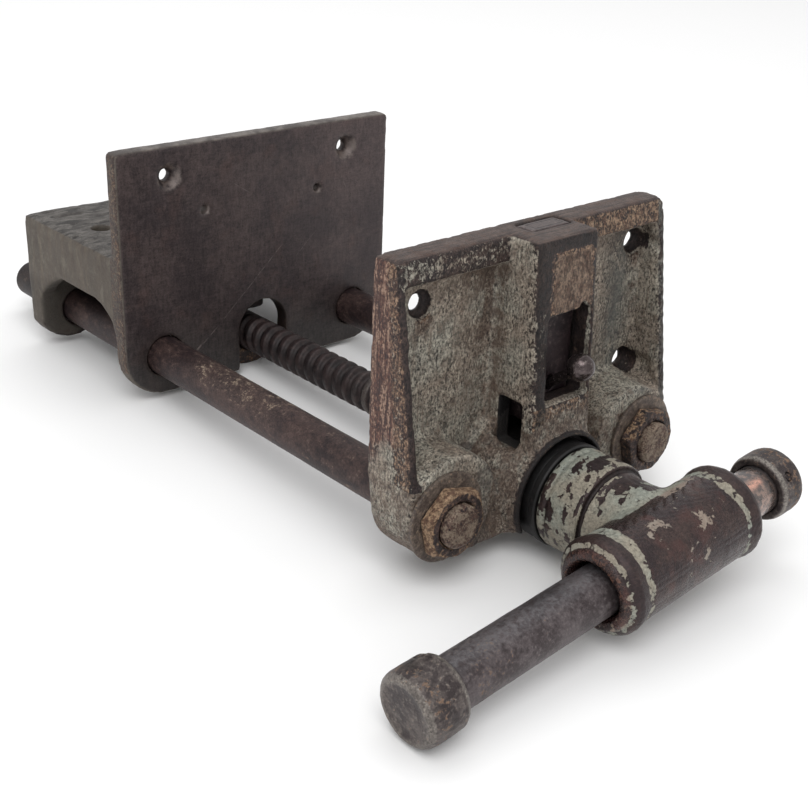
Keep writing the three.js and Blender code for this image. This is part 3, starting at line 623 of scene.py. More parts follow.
def worn_cast(name, paint, paint2, stain, bare, bare2, rust, rust2, chip=2.6, chip_amp=1.0, fine_amp=0.55,
              crisp=0.05, grain=0.22, streak=0.5, speck=0.35, thick=0.12, rough=(0.55, 0.7), lumps=0.06,
              seed=0.0, extra=None, metal=0.35, shade=0.35, salt=0.3, clots=0.4, relief=1.0, blobs=5.0,
              pale=None, peppery=0.0, bit=1.45, flow=1.0):
    """Painted cast iron. Vertex attributes say where: pw paint left, rw rust,
    dk darkening (dark zones, and painted shade in bores, hollows and undersides), st stains, and edge, nook and shade
    from the shape."""
    m = Mat(name)
    o = (seed * 13.1, seed * 7.7, seed * 3.3)
    edge, nook, shd = m.attr("edge"), m.attr("nook"), m.attr("shade")
    pw, rw, dk, st = m.attr("pw"), m.attr("rw"), m.attr("dk"), m.attr("st")
    big = m.noise(22.0, 3.0, 0.55, off=o)
    mid = m.noise(chip * 2.6, 4.0, 0.6, off=o)
    chips = m.noise(chip, blobs, 0.62, dist=0.4, off=o)
    fine = m.noise(0.85, 3.0, 0.65, off=o)
    grit = m.noise(1.9, 2.0, 0.6, off=o)
    crumb = m.noise(bit, 4.0, 0.72, dist=0.3, squeeze=(1.0, 1.0, flow), off=(o[0] + 31, o[1], o[2]))
    clot = m.noise(5.2, 5.0, 0.68, off=(o[0], o[1] + 17, o[2]))
    strk = m.noise(1.9, 4.0, 0.68, squeeze=(1.0, 1.0, 0.12), off=o)
    patch = m.ramp(m.noise(8.0, 3.0, 0.6, squeeze=(1.0, 1.0, 0.45), off=(o[0], 3, 8)), 0.38, 0.62, 0.2, 1.0)
    # bare iron, rust on it, then what is left of the paint
    metal_c = m.mix(m.ramp(m.add(mid, m.mul(m.sub(fine, 0.5), 0.5)), 0.35, 0.68), bare, bare2)
    rust_c = m.mix(m.ramp(m.add(grit, m.mul(m.sub(fine, 0.5), 0.6)), 0.34, 0.66), rust, rust2)
    rmask = m.ramp(m.add(rw, m.mul(m.sub(crumb, 0.5), 1.6), m.mul(m.sub(mid, 0.5), 0.8)), 0.42, 0.6)
    base = m.mix(rmask, metal_c, rust_c)
    pc = m.mix(m.ramp(big, 0.38, 0.62), paint, paint2)
    smask = m.clip(m.add(m.mul(m.ramp(strk, 0.5, 0.68), streak), m.mul(m.ramp(m.add(st, m.mul(m.sub(clot, 0.5), 1.1)), 0.35, 0.72), 0.8)))
    pc = m.mix(smask, pc, stain)
    dirt = m.mul(m.ramp(m.add(clot, m.mul(m.sub(crumb, 0.5), 0.6)), 0.5, 0.66), clots)
    pc = m.mix(dirt, pc, m.shadeby(stain, 0.62))
    if peppery:
        # worn-through tops show pale, the hollows between keep dirt
        pc = m.mix(m.mul(m.ramp(m.add(crumb, m.mul(m.sub(strk, 0.5), 0.35)), 0.47, 0.38), patch, peppery), pc, m.shadeby(bare, 0.8))
        pc = m.mix(m.mul(m.ramp(m.add(crumb, m.mul(m.sub(strk, 0.5), 0.45)), 0.54, 0.63), patch, peppery * 0.55), pc, pale)
    left = m.add(pw, m.mul(m.sub(chips, 0.5), chip_amp), m.mul(m.sub(crumb, 0.5), fine_amp), m.mul(edge, -0.22))
    pmask = m.ramp(left, 0.5 - crisp, 0.5 + crisp)
    col = m.mix(pmask, base, pc)
    # pits and dirt
    pit = m.math("MAXIMUM", m.ramp(m.noise(1.15, 3.0, 0.6, off=(o[0] + 3, 0, 9)), 0.63, 0.68),
                 m.ramp(m.noise(2.6, 4.0, 0.66, off=(o[0], 5, 9)), 0.66, 0.70))
    pit = m.mul(pit, speck)
    col = m.mix(m.mul(pit, 0.85), col, m.shadeby(bare, 0.42))
    bits = m.ramp(crumb, 0.38, 0.62, -1.0, 1.0)
    lum = m.add(1.0, m.mul(m.sub(fine, 0.5), grain * 3.4), m.mul(m.sub(grit, 0.5), grain * 1.8), m.mul(bits, salt))
    # painted shade: the colour darkens in inner corners (nook), where the shape shades itself (shade), and by dk, which
    # is partly painted shade
    lum = m.mul(lum, m.sub(1.0, m.mul(nook, 0.35)), m.sub(1.0, m.mul(shd, shade)), m.sub(1.0, m.mul(dk, 0.72)))
    col = m.shadeby(col, m.math("MAXIMUM", lum, 0.05))
    r = m.lerp(pmask, m.add(rough[0], m.mul(m.sub(fine, 0.5), 0.5), m.mul(rmask, 0.2)), m.add(rough[1], m.mul(m.sub(grit, 0.5), 0.3)))
    h = m.add(m.mul(pmask, thick), m.mul(fine, 0.08 * relief), m.mul(crumb, 0.30 * relief), m.mul(grit, lumps), m.mul(mid, lumps * 1.5),
              m.mul(pit, -0.22), m.mul(rmask, m.mul(fine, 0.12)))
    k = {"col": col, "r": r, "h": h, "metal": m.mul(m.sub(1.0, pmask), m.sub(1.0, m.mul(rmask, 0.8)), metal), "paint": pmask,
         "fine": fine, "grit": grit, "mid": mid, "big": big, "rust": rmask, "crumb": crumb, "bits": bits, "clot": clot}
    if extra is not None:
        extra(m, k)
    return m.finish(k["col"], m.clip(k["r"]), k["metal"], k["h"])


def steel(name, dark, mid_c, light, rust, rust2, metal=0.55, rough=(0.38, 0.6), blot=9.0, mott=2.4, grain=0.18,
          pitshare=0.25, squeeze=None, tool=None, extra=None, seed=0.0, rust_bias=0.0, relief=1.0, shine=0.0, salt=0.16, spots=0.6):
    """Dark handled steel with mottling, pits and patches of rust.
    Attributes: rw rust, dk darkening (partly painted shade), lt worn bright metal and painted highlight; st is not used
    here."""
    m = Mat(name)
    o = (seed * 5.7, seed * 11.3, seed * 2.9)
    edge, nook, shd = m.attr("edge"), m.attr("nook"), m.attr("shade")
    rw, dk, lt = m.attr("rw"), m.attr("dk"), m.attr("lt")
    big = m.noise(blot, 4.0, 0.6, squeeze=squeeze, off=o)
    mid = m.noise(mott, 4.0, 0.62, squeeze=squeeze, off=o)
    fine = m.noise(0.8, 3.0, 0.6, off=o)
    crumb = m.noise(1.3, 4.0, 0.7, dist=0.3, off=(o[0] + 31, o[1], o[2]))
    col = m.mix(m.ramp(m.add(m.mul(big, 0.6), m.mul(mid, 0.4)), 0.42, 0.58), dark, mid_c)
    # lt pulls the colour to the light tone: worn bright metal, and painted highlight where lt marks cap rims and thread
    # crests
    col = m.mix(m.clip(m.add(m.mul(m.ramp(m.add(mid, m.mul(m.sub(fine, 0.5), 0.6)), 0.55, 0.76), spots), m.mul(lt, m.ramp(fine, 0.2, 0.6)))), col, light)
    rc = m.mix(m.ramp(m.add(mid, m.mul(m.sub(fine, 0.5), 0.7)), 0.38, 0.62), rust, rust2)
    rmask = m.ramp(m.add(rw, rust_bias, m.mul(m.sub(mid, 0.5), 1.2), m.mul(m.sub(crumb, 0.5), 1.1)), 0.42, 0.6)
    col = m.mix(rmask, col, rc)
    pit = m.mul(m.ramp(m.noise(1.1, 3.0, 0.62, off=(o[0] + 3, 0, 9)), 0.62, 0.67), min(1.0, pitshare * 3.0))
    col = m.mix(m.mul(pit, 0.75), col, m.shadeby(dark, 0.42))
    bits = m.ramp(crumb, 0.38, 0.62, -1.0, 1.0)
    lum = m.add(1.0, m.mul(m.sub(fine, 0.5), grain * 3.0), m.mul(m.sub(mid, 0.5), grain * 1.8), m.mul(bits, salt))
    h = m.add(m.mul(mid, 0.08 * relief), m.mul(fine, 0.04 * relief), m.mul(crumb, 0.12 * relief), m.mul(pit, -0.12 * relief),
              m.mul(rmask, m.mul(fine, 0.10)))
    if tool is not None:
        marks = m.noise(tool[0], 2.0, 0.7, squeeze=tool[1], off=o)
        lum = m.add(lum, m.mul(m.sub(marks, 0.5), tool[2]))
        h = m.add(h, m.mul(marks, tool[3]))
    # painted shade: the colour darkens in inner corners (nook), where the shape shades itself (shade), and by dk, which
    # is partly painted shade
    lum = m.mul(lum, m.sub(1.0, m.mul(nook, 0.3)), m.sub(1.0, m.mul(shd, 0.3)), m.sub(1.0, m.mul(dk, 0.75)))
    col = m.shadeby(col, m.math("MAXIMUM", lum, 0.05))
    r = m.add(m.lerp(rmask, m.lerp(mid, rough[0], rough[1]), 0.78), m.mul(m.sub(fine, 0.5), 0.25), m.mul(edge, -0.08), -shine)
    k = {"col": col, "r": r, "h": h, "metal": m.mul(m.sub(1.0, m.mul(rmask, 0.85)), metal), "fine": fine, "mid": mid, "big": big,
         "rust": rmask, "crumb": crumb, "bits": bits}
    if extra is not None:
        extra(m, k)
    return m.finish(k["col"], m.clip(k["r"]), k["metal"], k["h"])


def paint_of(sh, pw=0.8, rw=0.1, dk=0.0, st=0.2):
    n = len(sh.p)
    for k, v in (("pw", pw), ("rw", rw), ("dk", dk), ("st", st)):
        sh.attr[k] = np.full(n, float(v))
    return sh.attr


def put(a, key, w, value):
    """Moves an attribute towards a value where w is 1."""
    a[key] = a[key] * (1 - w) + np.asarray(value) * w


def band(x, lo, hi, soft=1.5):
    return smooth(lo - soft, lo + soft, x) * (1 - smooth(hi - soft, hi + soft, x))


def off_axis(p, x, z):
    return np.hypot(p[:, 0] - x, p[:, 2] - z)


# ------------------------------------------------------- rear jaw casting
LAG = [(-66, 60), (66, 60), (-28, 84), (28, 84)]
CHEEK = [(-58, -15.5), (58, -15.5), (-37, -36.2), (38, -36.2)]


def rear_keep(p):
    w = np.zeros(len(p))
    for s in (-1, 1):
        w = np.maximum(w, 1 - smooth(13.5, 16, off_axis(p, s * ROD_X, ROD_Z)))
    for x, z in CHEEK:
        w = np.maximum(w, (1 - smooth(9, 12, off_axis(p, x, z))) * (p[:, 1] < 12))
    for x, y in LAG:
        w = np.maximum(w, (1 - smooth(8, 11, np.hypot(p[:, 0] - x, p[:, 1] - y))) * (p[:, 2] > -70))
    w = np.maximum(w, (1 - smooth(8, 11, off_axis(p, -33, -108))))
    w = np.maximum(w, (1 - smooth(7, 9, np.hypot(p[:, 0] + 45.5, p[:, 1] - 41))) * (p[:, 2] > -76))
    w = np.maximum(w, (1 - smooth(16.5, 19, off_axis(p, 0, -111))) * (p[:, 1] < 13))
    w = np.maximum(w, (1 - smooth(14.5, 18, off_axis(p, 0, SCREW_Z))))
    return w


sh = cast("rear_jaw_casting", 1.1, 0.85, 2.6, rear_keep)
p, n = sh.p, sh.n
face = smooth(0.7, 0.95, -n[:, 1]) * (p[:, 1] < 1.2)          # machined gripping face
plate_back = (p[:, 1] > 8) & (p[:, 1] < 12) & (n[:, 1] > 0.5)
top = smooth(0.6, 0.9, n[:, 2]) * (p[:, 1] > 10.5) * (p[:, 2] > -60)
plate_top = smooth(0.5, 0.9, n[:, 2]) * (p[:, 2] > -3)
side = smooth(0.6, 0.9, np.abs(n[:, 0])) * (np.abs(p[:, 0]) > 87)
edge_l = side * (p[:, 1] < 10.5)
bore = np.minimum(off_axis(p, -ROD_X, ROD_Z), off_axis(p, ROD_X, ROD_Z))
quiet = smooth(11.3, 14.5, bore) * smooth(5.2, 8.5, off_axis(p, -33, -108)) * smooth(3.2, 6.0, np.hypot(p[:, 0] + 45.5, p[:, 1] - 41) + 30 * (p[:, 2] < -76))
in_nut = (np.abs(p[:, 0]) < 26) & (p[:, 2] < -92) & (p[:, 1] > 10)
quiet = quiet * np.where(in_nut, 0.2, 1.0)
far_side = np.clip(smooth(0.3, 0.8, n[:, 1]) * (p[:, 1] > 8) + smooth(0.5, 0.9, n[:, 0]) * (p[:, 0] > 80) * (p[:, 1] > 10.5), 0, 1)
lump = (0.16 * fbm(p, 13.0, 3, 3) + 0.05 * fbm(p, 3.5, 2, 9)) * (1 + 0.9 * far_side)
lump -= far_side * 0.5 * np.clip(fbm(p, 3.2, 3, 13) - 0.34, 0, 1)
d = lump * (1 - face) * (1 - plate_top)
d += face * 0.045 * fbm(p, 28.0, 2, 5)
# the rough upper face of the flange: ripples across it, dimples and knocks
away = 1 - np.max([1 - smooth(5.5, 10, np.hypot(p[:, 0] - x, p[:, 1] - y)) for x, y in LAG], 0)
ripple = fbm(p * np.array([0.45, 1.0, 1.0]), 9.0, 3, 21)
d += top * (0.42 * np.clip(ripple, -0.6, 0.5) + 0.16 * fbm(p, 2.6, 2, 23) - 0.22) * away
dimple = np.clip(fbm(p * np.array([0.55, 1.0, 1.0]), 6.0, 2, 31) - 0.32, 0, 1)
d -= top * away * 2.6 * dimple
# its edge over the side wall is uneven
rim = smooth(0.15, 0.75, sh.attr["edge"]) * (p[:, 1] > 12) * (p[:, 2] > -60)
d -= rim * (0.35 + 0.5 * fbm(p, 7.0, 2, 41))
# dressed plate edges, with knocks on the corners
d -= sh.attr["edge"] * (p[:, 1] < 11) * np.clip(fbm(p, 5.0, 2, 51), 0, 1) * 0.5
sh.p = p + n * (d * quiet)[:, None]
# a raised swell at the back of the flange
sw = np.exp(-((p[:, 0] + 58) / 17) ** 2 - ((p[:, 1] - 107) / 9) ** 2) * (p[:, 2] > -75) * (p[:, 2] < -50)
sh.p[:, 1] += 2.2 * sw * (n[:, 1] > -0.5)
a = paint_of(sh, 0.86, 0.12, 0.0, 0.3)
a["mz"] = np.clip(face + 0.0, 0, 1)
a["topz"] = top
a["wall"] = side * (p[:, 1] > 10.5) * (p[:, 0] < 0)
a["farz"] = np.clip(far_side, 0, 1)
worn = np.clip(fbm(p * np.array([1.0, 1.0, 0.6]), 26.0, 3, 61) * 0.9 + 0.35, 0, 1)
put(a, "pw", far_side, 0.80 - 0.24 * worn)
put(a, "rw", far_side, 0.2 + 0.35 * worn)
put(a, "st", far_side, 0.45)
wear = smooth(0.35, 0.9, sh.attr["edge"]) * (1 - face) * (1 - top) * (p[:, 1] > 10.5)
put(a, "pw", wear * (1 - (p[:, 0] < -80) * 0.6), 0.45)
put(a, "pw", edge_l, 0.5)
put(a, "rw", edge_l, 0.42)
put(a, "st", edge_l, 0.45)
put(a, "dk", edge_l, 0.12)
put(a, "pw", plate_top, 0.08)
put(a, "rw", plate_top, 0.15)
a["ptop"] = plate_top
# darker, rustier and stained under the flange between the lobes: painted shade, with real rust and stains
inner = (np.abs(p[:, 0]) < 79.5) & (p[:, 2] < -67) & (p[:, 1] > 10.5)
put(a, "dk", inner * 1.0, 0.35)
put(a, "rw", inner * 1.0, 0.3)
put(a, "st", inner * 1.0, 0.5)
# the rod bores are painted dark: painted shade
put(a, "dk", 1 - smooth(11.0, 11.9, bore), 0.6)
put(a, "pw", 1 - smooth(11.0, 11.9, bore), 0.0)
# the arch round the screw is painted dark: painted shade in the opening
arch = (1 - smooth(21, 24, off_axis(p, 0, SCREW_Z))) * (p[:, 1] < 14) * (1 - face)
put(a, "dk", arch, 0.72)
put(a, "pw", arch, 0.1)
# the rear lobes' faces below the flange are darkened: painted shade under the flange
lobe = (p[:, 1] > 70) * smooth(-86, -94, p[:, 2]) * (1 - smooth(0.3, 0.7, n[:, 1]))
put(a, "dk", lobe, 0.7)
put(a, "pw", plate_back * 1.0, 0.8)
put(a, "rw", plate_back * 1.0, 0.3)
hole = np.zeros(len(p))
for x, z in CHEEK:
    r0 = 7.0 if abs(x) > 50 else 2.6
    hole = np.maximum(hole, (1 - smooth(r0, r0 + 0.8, off_axis(p, x, z))) * (p[:, 1] < 10.5))
a["hole"] = hole
# lighter on the lower right inside each countersink: painted highlight
countersink_highlight = np.zeros(len(p))
for x, z in CHEEK:
    r0 = 7.2 if abs(x) > 50 else 2.9
    r = off_axis(p, x, z)
    aim = ((p[:, 0] - x) * 0.8 - (p[:, 2] - z) * 0.6) / np.maximum(r, 0.1)
    countersink_highlight = np.maximum(countersink_highlight, smooth(0.0, 0.8, aim) * (1 - smooth(r0, r0 + 0.7, r)) * smooth(r0 * 0.45, r0 * 0.7, r) * (p[:, 1] < 10.5))
a["countersink_highlight"] = countersink_highlight
put(a, "mz", hole, 1.0)


def rear_extra(m, k):
    mz, topz, wall, ptop, hole = (m.attr(x) for x in ("mz", "topz", "wall", "ptop", "hole"))
    q = m.xyz()
    a = m.noise(34.0, 4.0, 0.6, dist=0.3, off=(3, 0, 9))
    b = m.noise(4.2, 5.0, 0.7)
    red = m.noise(17.0, 3.0, 0.55, off=(50, 0, 20))
    hair = m.noise(1.6, 3.0, 0.6, squeeze=(1.0, 1.0, 0.22))
    weave = m.noise(1.3, 3.0, 0.6, squeeze=(0.2, 1.0, 1.0))
    mc = m.mix(m.ramp(m.add(m.mul(a, 0.7), m.mul(b, 0.3)), 0.40, 0.60), C(54, 45, 46), C(70, 59, 58))
    mc = m.mix(m.mul(m.ramp(red, 0.52, 0.72), 0.4), mc, C(74, 56, 52))
    low = m.ramp(q[2], -128, -86, 1.0, 0.0)
    mc = m.mix(m.mul(low, 0.62), mc, C(46, 45, 43))
    right = m.mul(m.ramp(q[0], 10, 80), m.ramp(q[2], -70, -20))
    mc = m.mix(m.mul(right, 0.45), mc, C(82, 69, 68))
    lum = m.add(1.0, m.mul(m.sub(k["fine"], 0.5), 1.6), m.mul(m.sub(b, 0.5), 1.05), m.mul(m.sub(hair, 0.5), 1.2), m.mul(m.sub(weave, 0.5), 0.9),
                m.mul(k["bits"], 0.11))
    dots = m.ramp(m.noise(0.9, 2.0, 0.5, off=(7, 0, 3)), 0.70, 0.76)
    lum = m.add(lum, m.mul(dots, 0.5))
    mc = m.shadeby(mc, lum)
    dark = m.ramp(m.noise(1.7, 3.0, 0.6, off=(1, 0, 13)), 0.66, 0.71)
    mc = m.mix(m.mul(dark, 0.7), mc, C(30, 24, 26))
    scratches = None
    for (x0, z0, x1, z1, w) in SCRATCHES:
        s = m.mul(m.line((x0, z0), (x1, z1), 0.10 * w, 0.3, wob=0.35), m.ramp(m.noise(3.0, 3.0, 0.7, off=(x0, 0, z0)), 0.34, 0.6), 0.45 + 0.2 * w)
        scratches = s if scratches is None else m.math("MAXIMUM", scratches, s)
    mc = m.mix(m.mul(scratches, 0.7), mc, C(130, 118, 114))
    # the holes are darkened: painted shade in the recesses
    mc = m.shadeby(mc, m.sub(1.0, m.mul(hole, 0.25)))
    mc = m.mix(m.mul(hole, m.ramp(b, 0.4, 0.7)), mc, C(104, 92, 86))
    # painted highlight on the lower right of the countersinks
    mc = m.mix(m.mul(m.attr("countersink_highlight"), m.ramp(b, 0.3, 0.6), 0.62), mc, C(122, 112, 108))
    k["col"] = m.mix(mz, k["col"], mc)
    k["metal"] = m.lerp(mz, k["metal"], 0.35)
    k["r"] = m.lerp(mz, k["r"], m.add(0.5, m.mul(m.sub(b, 0.5), 0.5)))
    k["h"] = m.lerp(mz, k["h"], m.add(m.mul(b, 0.05), m.mul(hair, 0.012), m.mul(dark, -0.1), m.mul(scratches, -0.06)))
    # the flange's upper face is greyer and rougher
    g = m.mix(m.ramp(m.noise(3.4, 5.0, 0.7, squeeze=(0.4, 1, 1)), 0.36, 0.66), C(52, 48, 46), C(98, 94, 90))
    g = m.shadeby(g, m.add(1.0, m.mul(m.sub(k["fine"], 0.5), 1.5), m.mul(m.sub(k["grit"], 0.5), 0.6), m.mul(k["bits"], 0.14)))
    dash = m.ramp(m.noise(5.0, 4.0, 0.6, squeeze=(0.45, 1, 1), off=(11, 0, 0)), 0.56, 0.60)
    g = m.mix(m.mul(dash, 0.85), g, C(34, 31, 30))
    k["col"] = m.mix(m.mul(topz, 0.92), k["col"], g)
    k["h"] = m.add(k["h"], m.mul(topz, m.mul(m.noise(2.6, 5.0, 0.7, squeeze=(0.5, 1, 1)), 0.5)))
    # the plate's dressed top edge shows pale grey metal
    e = m.mix(m.ramp(k["mid"], 0.35, 0.65), C(78, 72, 69), C(124, 118, 113))
    e = m.shadeby(e, m.add(1.0, m.mul(m.sub(k["fine"], 0.5), 0.6)))
    k["col"] = m.mix(m.mul(ptop, 0.8), k["col"], e)
    # faint drips down the side walls
    run = m.noise(4.0, 3.0, 0.6, squeeze=(1, 1, 0.1), off=(0, 5, 0))
    k["col"] = m.mix(m.mul(wall, m.ramp(run, 0.42, 0.7), 0.3), k["col"], C(118, 102, 84))
    soft = m.noise(15.0, 4.0, 0.6, off=(4, 4, 0))
    k["col"] = m.mix(m.mul(wall, m.ramp(soft, 0.36, 0.62), 0.6), k["col"], C(84, 75, 66))
    k["col"] = m.mix(m.mul(wall, 0.16), k["col"], C(48, 43, 38))
    far = m.attr("farz")
    fb = m.noise(9.0, 5.0, 0.66, squeeze=(1, 1, 0.55), off=(6, 1, 9))
    k["col"] = m.mix(m.mul(far, m.ramp(fb, 0.48, 0.64), 0.5), k["col"], C(64, 54, 47))
    k["col"] = m.mix(m.mul(far, m.ramp(run, 0.46, 0.66), m.ramp(fb, 0.56, 0.42), 0.5), k["col"], C(104, 97, 84))
    k["col"] = m.mix(m.mul(far, m.ramp(m.noise(3.0, 4.0, 0.7, squeeze=(1, 1, 0.3), off=(3, 3, 3)), 0.60, 0.68), 0.75), k["col"], C(92, 60, 43))
    blotch = m.noise(6.0, 4.0, 0.66, squeeze=(1, 1, 0.6), off=(2, 8, 1))
    k["col"] = m.mix(m.mul(wall, m.ramp(blotch, 0.50, 0.66), 0.5), k["col"], C(66, 56, 49))
    k["col"] = m.mix(m.mul(wall, m.ramp(blotch, 0.46, 0.34), 0.42), k["col"], C(112, 106, 94))


SCRATCHES = [(14, -64, -30, -103, 0.9), (-30, -103, -47, -116.5, 1.3), (-40, -110, -48, -117, 2.6), (54, -30, 60, -42, 0.4), (-20, -24, -6, -33, 0.4),
             (22, -74, 38, -60, 0.3)]
OLIVE = dict(paint=C(90, 83, 75), paint2=C(79, 72, 64), stain=C(84, 70, 60), bare=C(58, 48, 46), bare2=C(76, 62, 56),
             rust=C(88, 64, 52), rust2=C(122, 106, 90))
mat_rear = worn_cast("rear_casting", **OLIVE, chip=3.0, chip_amp=0.8, fine_amp=0.6, crisp=0.07, grain=0.16, streak=0.12,
                     speck=0.4, thick=0.05, lumps=0.08, extra=rear_extra, seed=1.0, shade=0.45, salt=0.08, clots=0.25, relief=0.6)
build("rear_jaw", sh, "fixed_jaw", ["rear_jaw_casting"], mat_rear)

# ------------------------------------------------------ front jaw casting
W, RIM_Y0, LEAN = 83.5, -204.0, 0.15
JAW_HOLES = [(-62, -24), (74, -22), (75, -83), (-73.5, -84)]


def rim_y(z):
    return RIM_Y0 + LEAN * np.minimum(z, 0)


def front_keep(p):
    w = np.zeros(len(p))
    for s in (-1, 1):
        w = np.maximum(w, 1 - smooth(12.5, 15, off_axis(p, s * ROD_X, ROD_Z)))
    for x, z in JAW_HOLES:
        w = np.maximum(w, (1 - smooth(8, 10, off_axis(p, x, z))) * (p[:, 1] > -200))
    w = np.maximum(w, (1 - smooth(27.0, 27.5, off_axis(p, 0, SCREW_Z))) * (p[:, 1] < -221))
    w = np.maximum(w, (1 - smooth(13, 16, off_axis(p, 0, SCREW_Z))))
    w = np.maximum(w, ((p[:, 0] > -13) & (p[:, 0] < 19) & (p[:, 1] < -193) & (p[:, 1] > -221) & (p[:, 2] > -99)) * 1.0)
    w = np.maximum(w, band(p[:, 0], -30, -8, 1) * band(p[:, 1], -220, -201.5, 0.8) * band(p[:, 2], -99, -71, 1.5))
    return w


def side_window(c, f):
    """The side window's lower front corner is cut into the boss as well."""
    cut = band(c[:, 0], -30, -18, 0.3) * band(c[:, 1], -216.6, -203.9, 0.3) * band(c[:, 2], -95.8, -74.2, 0.3)
    return np.minimum(f, 1 - cut)


sh = cast("front_jaw_casting", 0.9, 0.68, 2.3, front_keep, carve=side_window)
p, n = sh.p, sh.n
x, y, z = p.T
grip = smooth(0.7, 0.95, n[:, 1]) * (y > -191.5)
topf = smooth(0.6, 0.9, n[:, 2]) * (z > -2.5)
bores = np.min([off_axis(p, s * ROD_X, ROD_Z) for s in (-1, 1)] + [off_axis(p, 0, SCREW_Z)], 0)
slotz = ((x > -12) & (x < 18) & (y > -213.5) & (y < -193) & (z > -98.5))
ring_in = (off_axis(p, 0, SCREW_Z) < 27.5) & (y < -219)
pad_face = (smooth(0.8, 0.95, -n[:, 1]) * (np.abs(y + 219) < 0.8) *
            (np.min([off_axis(p, s * ROD_X, ROD_Z) for s in (-1, 1)], 0) < 22))
quiet = smooth(11.6, 15, bores) * np.where(slotz | ring_in, 0.0, 1.0) * (1 - 0.9 * pad_face)
d = (0.22 * fbm(p, 11.0, 3, 103) + 0.09 * fbm(p, 3.0, 2, 109)) * (1 - grip) * (1 - 0.8 * topf)
chipz = smooth(0.2, 0.8, sh.attr["edge"])
d -= chipz * np.clip(fbm(p, 4.2, 3, 113), 0, 1) * 0.75
# wear on the two upper corners and a nibbled front edge on the column
cx = smooth(0.5, 1.0, chipz) * (z > -6) * (np.abs(x) > 78)
d -= cx * 0.5
sh.p = p + n * (d * quiet)[:, None]
a = paint_of(sh, 0.84, 0.12, 0.0, 0.2)
nf = smooth(0.6, 0.9, -n[:, 1])
left, right = smooth(0.6, 0.9, -n[:, 0]) * (x < -80), smooth(0.6, 0.9, n[:, 0]) * (x > 80)
ry = rim_y(z)
u = np.clip((-189.7 - y) / (-189.7 - ry), 0, 1)
rimf = nf * (np.abs(y - ry) < 2.2) * ((np.abs(x) > 78) | (z > -11.8)) * (z > -104) * (np.abs(x) > 19.5)
panel = nf * (np.abs(y + 196) < 1.5) * (np.abs(x) > 19) * (np.abs(x) < 79) * (z < -11)
colf = nf * (y < -217) * (np.abs(x) < 19.6) * (z > -95)
coll = smooth(0.6, 0.9, np.abs(n[:, 0])) * (np.abs(np.abs(x) - 19) < 1.5) * (z > -100) * (y < -197)
boss = (off_axis(p, 0, SCREW_Z) < 38) & (y < -200) & (z < -80)
low = (z < -96) & ~boss
# rims
put(a, "pw", rimf, 0.44)
put(a, "rw", rimf, 0.3)
put(a, "dk", rimf, 0.16)
lstrip = rimf * (x < -78) * smooth(-100, -86, z)
put(a, "pw", lstrip, 0.14)
put(a, "rw", lstrip, 0.12)
put(a, "dk", lstrip, 0.15)
topband = rimf * (z > -12) * band(x, -60, -24, 8)
put(a, "pw", topband, 0.47)
ltop = rimf * (x < -19) * (z > -12)
put(a, "pw", ltop * (x < -58), 0.52)
put(a, "rw", ltop, 0.12)
put(a, "dk", ltop, 0.22)
rtop = rimf * (x > 19) * (z > -12)
put(a, "pw", rtop, 0.16)
put(a, "rw", rtop, 0.6)
put(a, "dk", rtop, 0.24)
rrim = rimf * (x > 78)
put(a, "dk", rrim, 0.62)
put(a, "st", rrim, 0.4)
put(a, "pw", rrim, 0.66)
# left side face: red-brown behind, tan and speckled in front, paint below
split = 0.64 + 0.05 * fbm(p, 9.0, 2, 131)
back_half = left * (1 - smooth(-0.08, 0.08, u - split))
up = smooth(-10, 10, z + 82 + 16 * fbm(p, 12.0, 3, 137))
put(a, "pw", left, 0.5)
put(a, "rw", left, 0.72)
put(a, "pw", back_half * up, 0.05)
put(a, "rw", back_half * up, 0.5)
put(a, "pw", back_half * (1 - up), 0.86)
put(a, "rw", back_half * (1 - up), 0.2)
put(a, "pw", left * smooth(-0.08, 0.08, u - split), 0.4)
put(a, "rw", left * smooth(-0.08, 0.08, u - split), 0.5)
put(a, "dk", left * smooth(0.86, 1.0, u), 0.3)
a["redz"] = back_half * up + left * 0.25 * up
put(a, "pw", right, 0.6)
put(a, "rw", right, 0.4)
# panels
put(a, "pw", panel, 0.88)
put(a, "st", panel * (1 - smooth(-104, -94, z)), 0.7)
put(a, "st", panel * smooth(-20, -12, z), 0.6)
put(a, "st", panel * (x < 0) * smooth(-30, -21, x), 0.6)
put(a, "st", panel * (x > 60), 0.45)
blot = np.exp(-((x + 25) / 8) ** 2 - ((z + 15) / 6) ** 2) * panel + np.exp(-((x + 22) / 4) ** 2 - ((z + 34) / 16) ** 2) * panel * 0.6
put(a, "dk", np.clip(blot, 0, 1), 0.62)
put(a, "st", np.clip(blot, 0, 1), 0.9)
put(a, "dk", panel * (x > 19) * 1.0, 0.08)
put(a, "st", panel * (x > 19) * band(x, 52, 66, 5), 0.05)
put(a, "dk", panel * (x > 19) * band(x, 55, 70, 4) * band(z, -74, -10, 8), 0.44)
put(a, "rw", panel * (x > 19), 0.2)
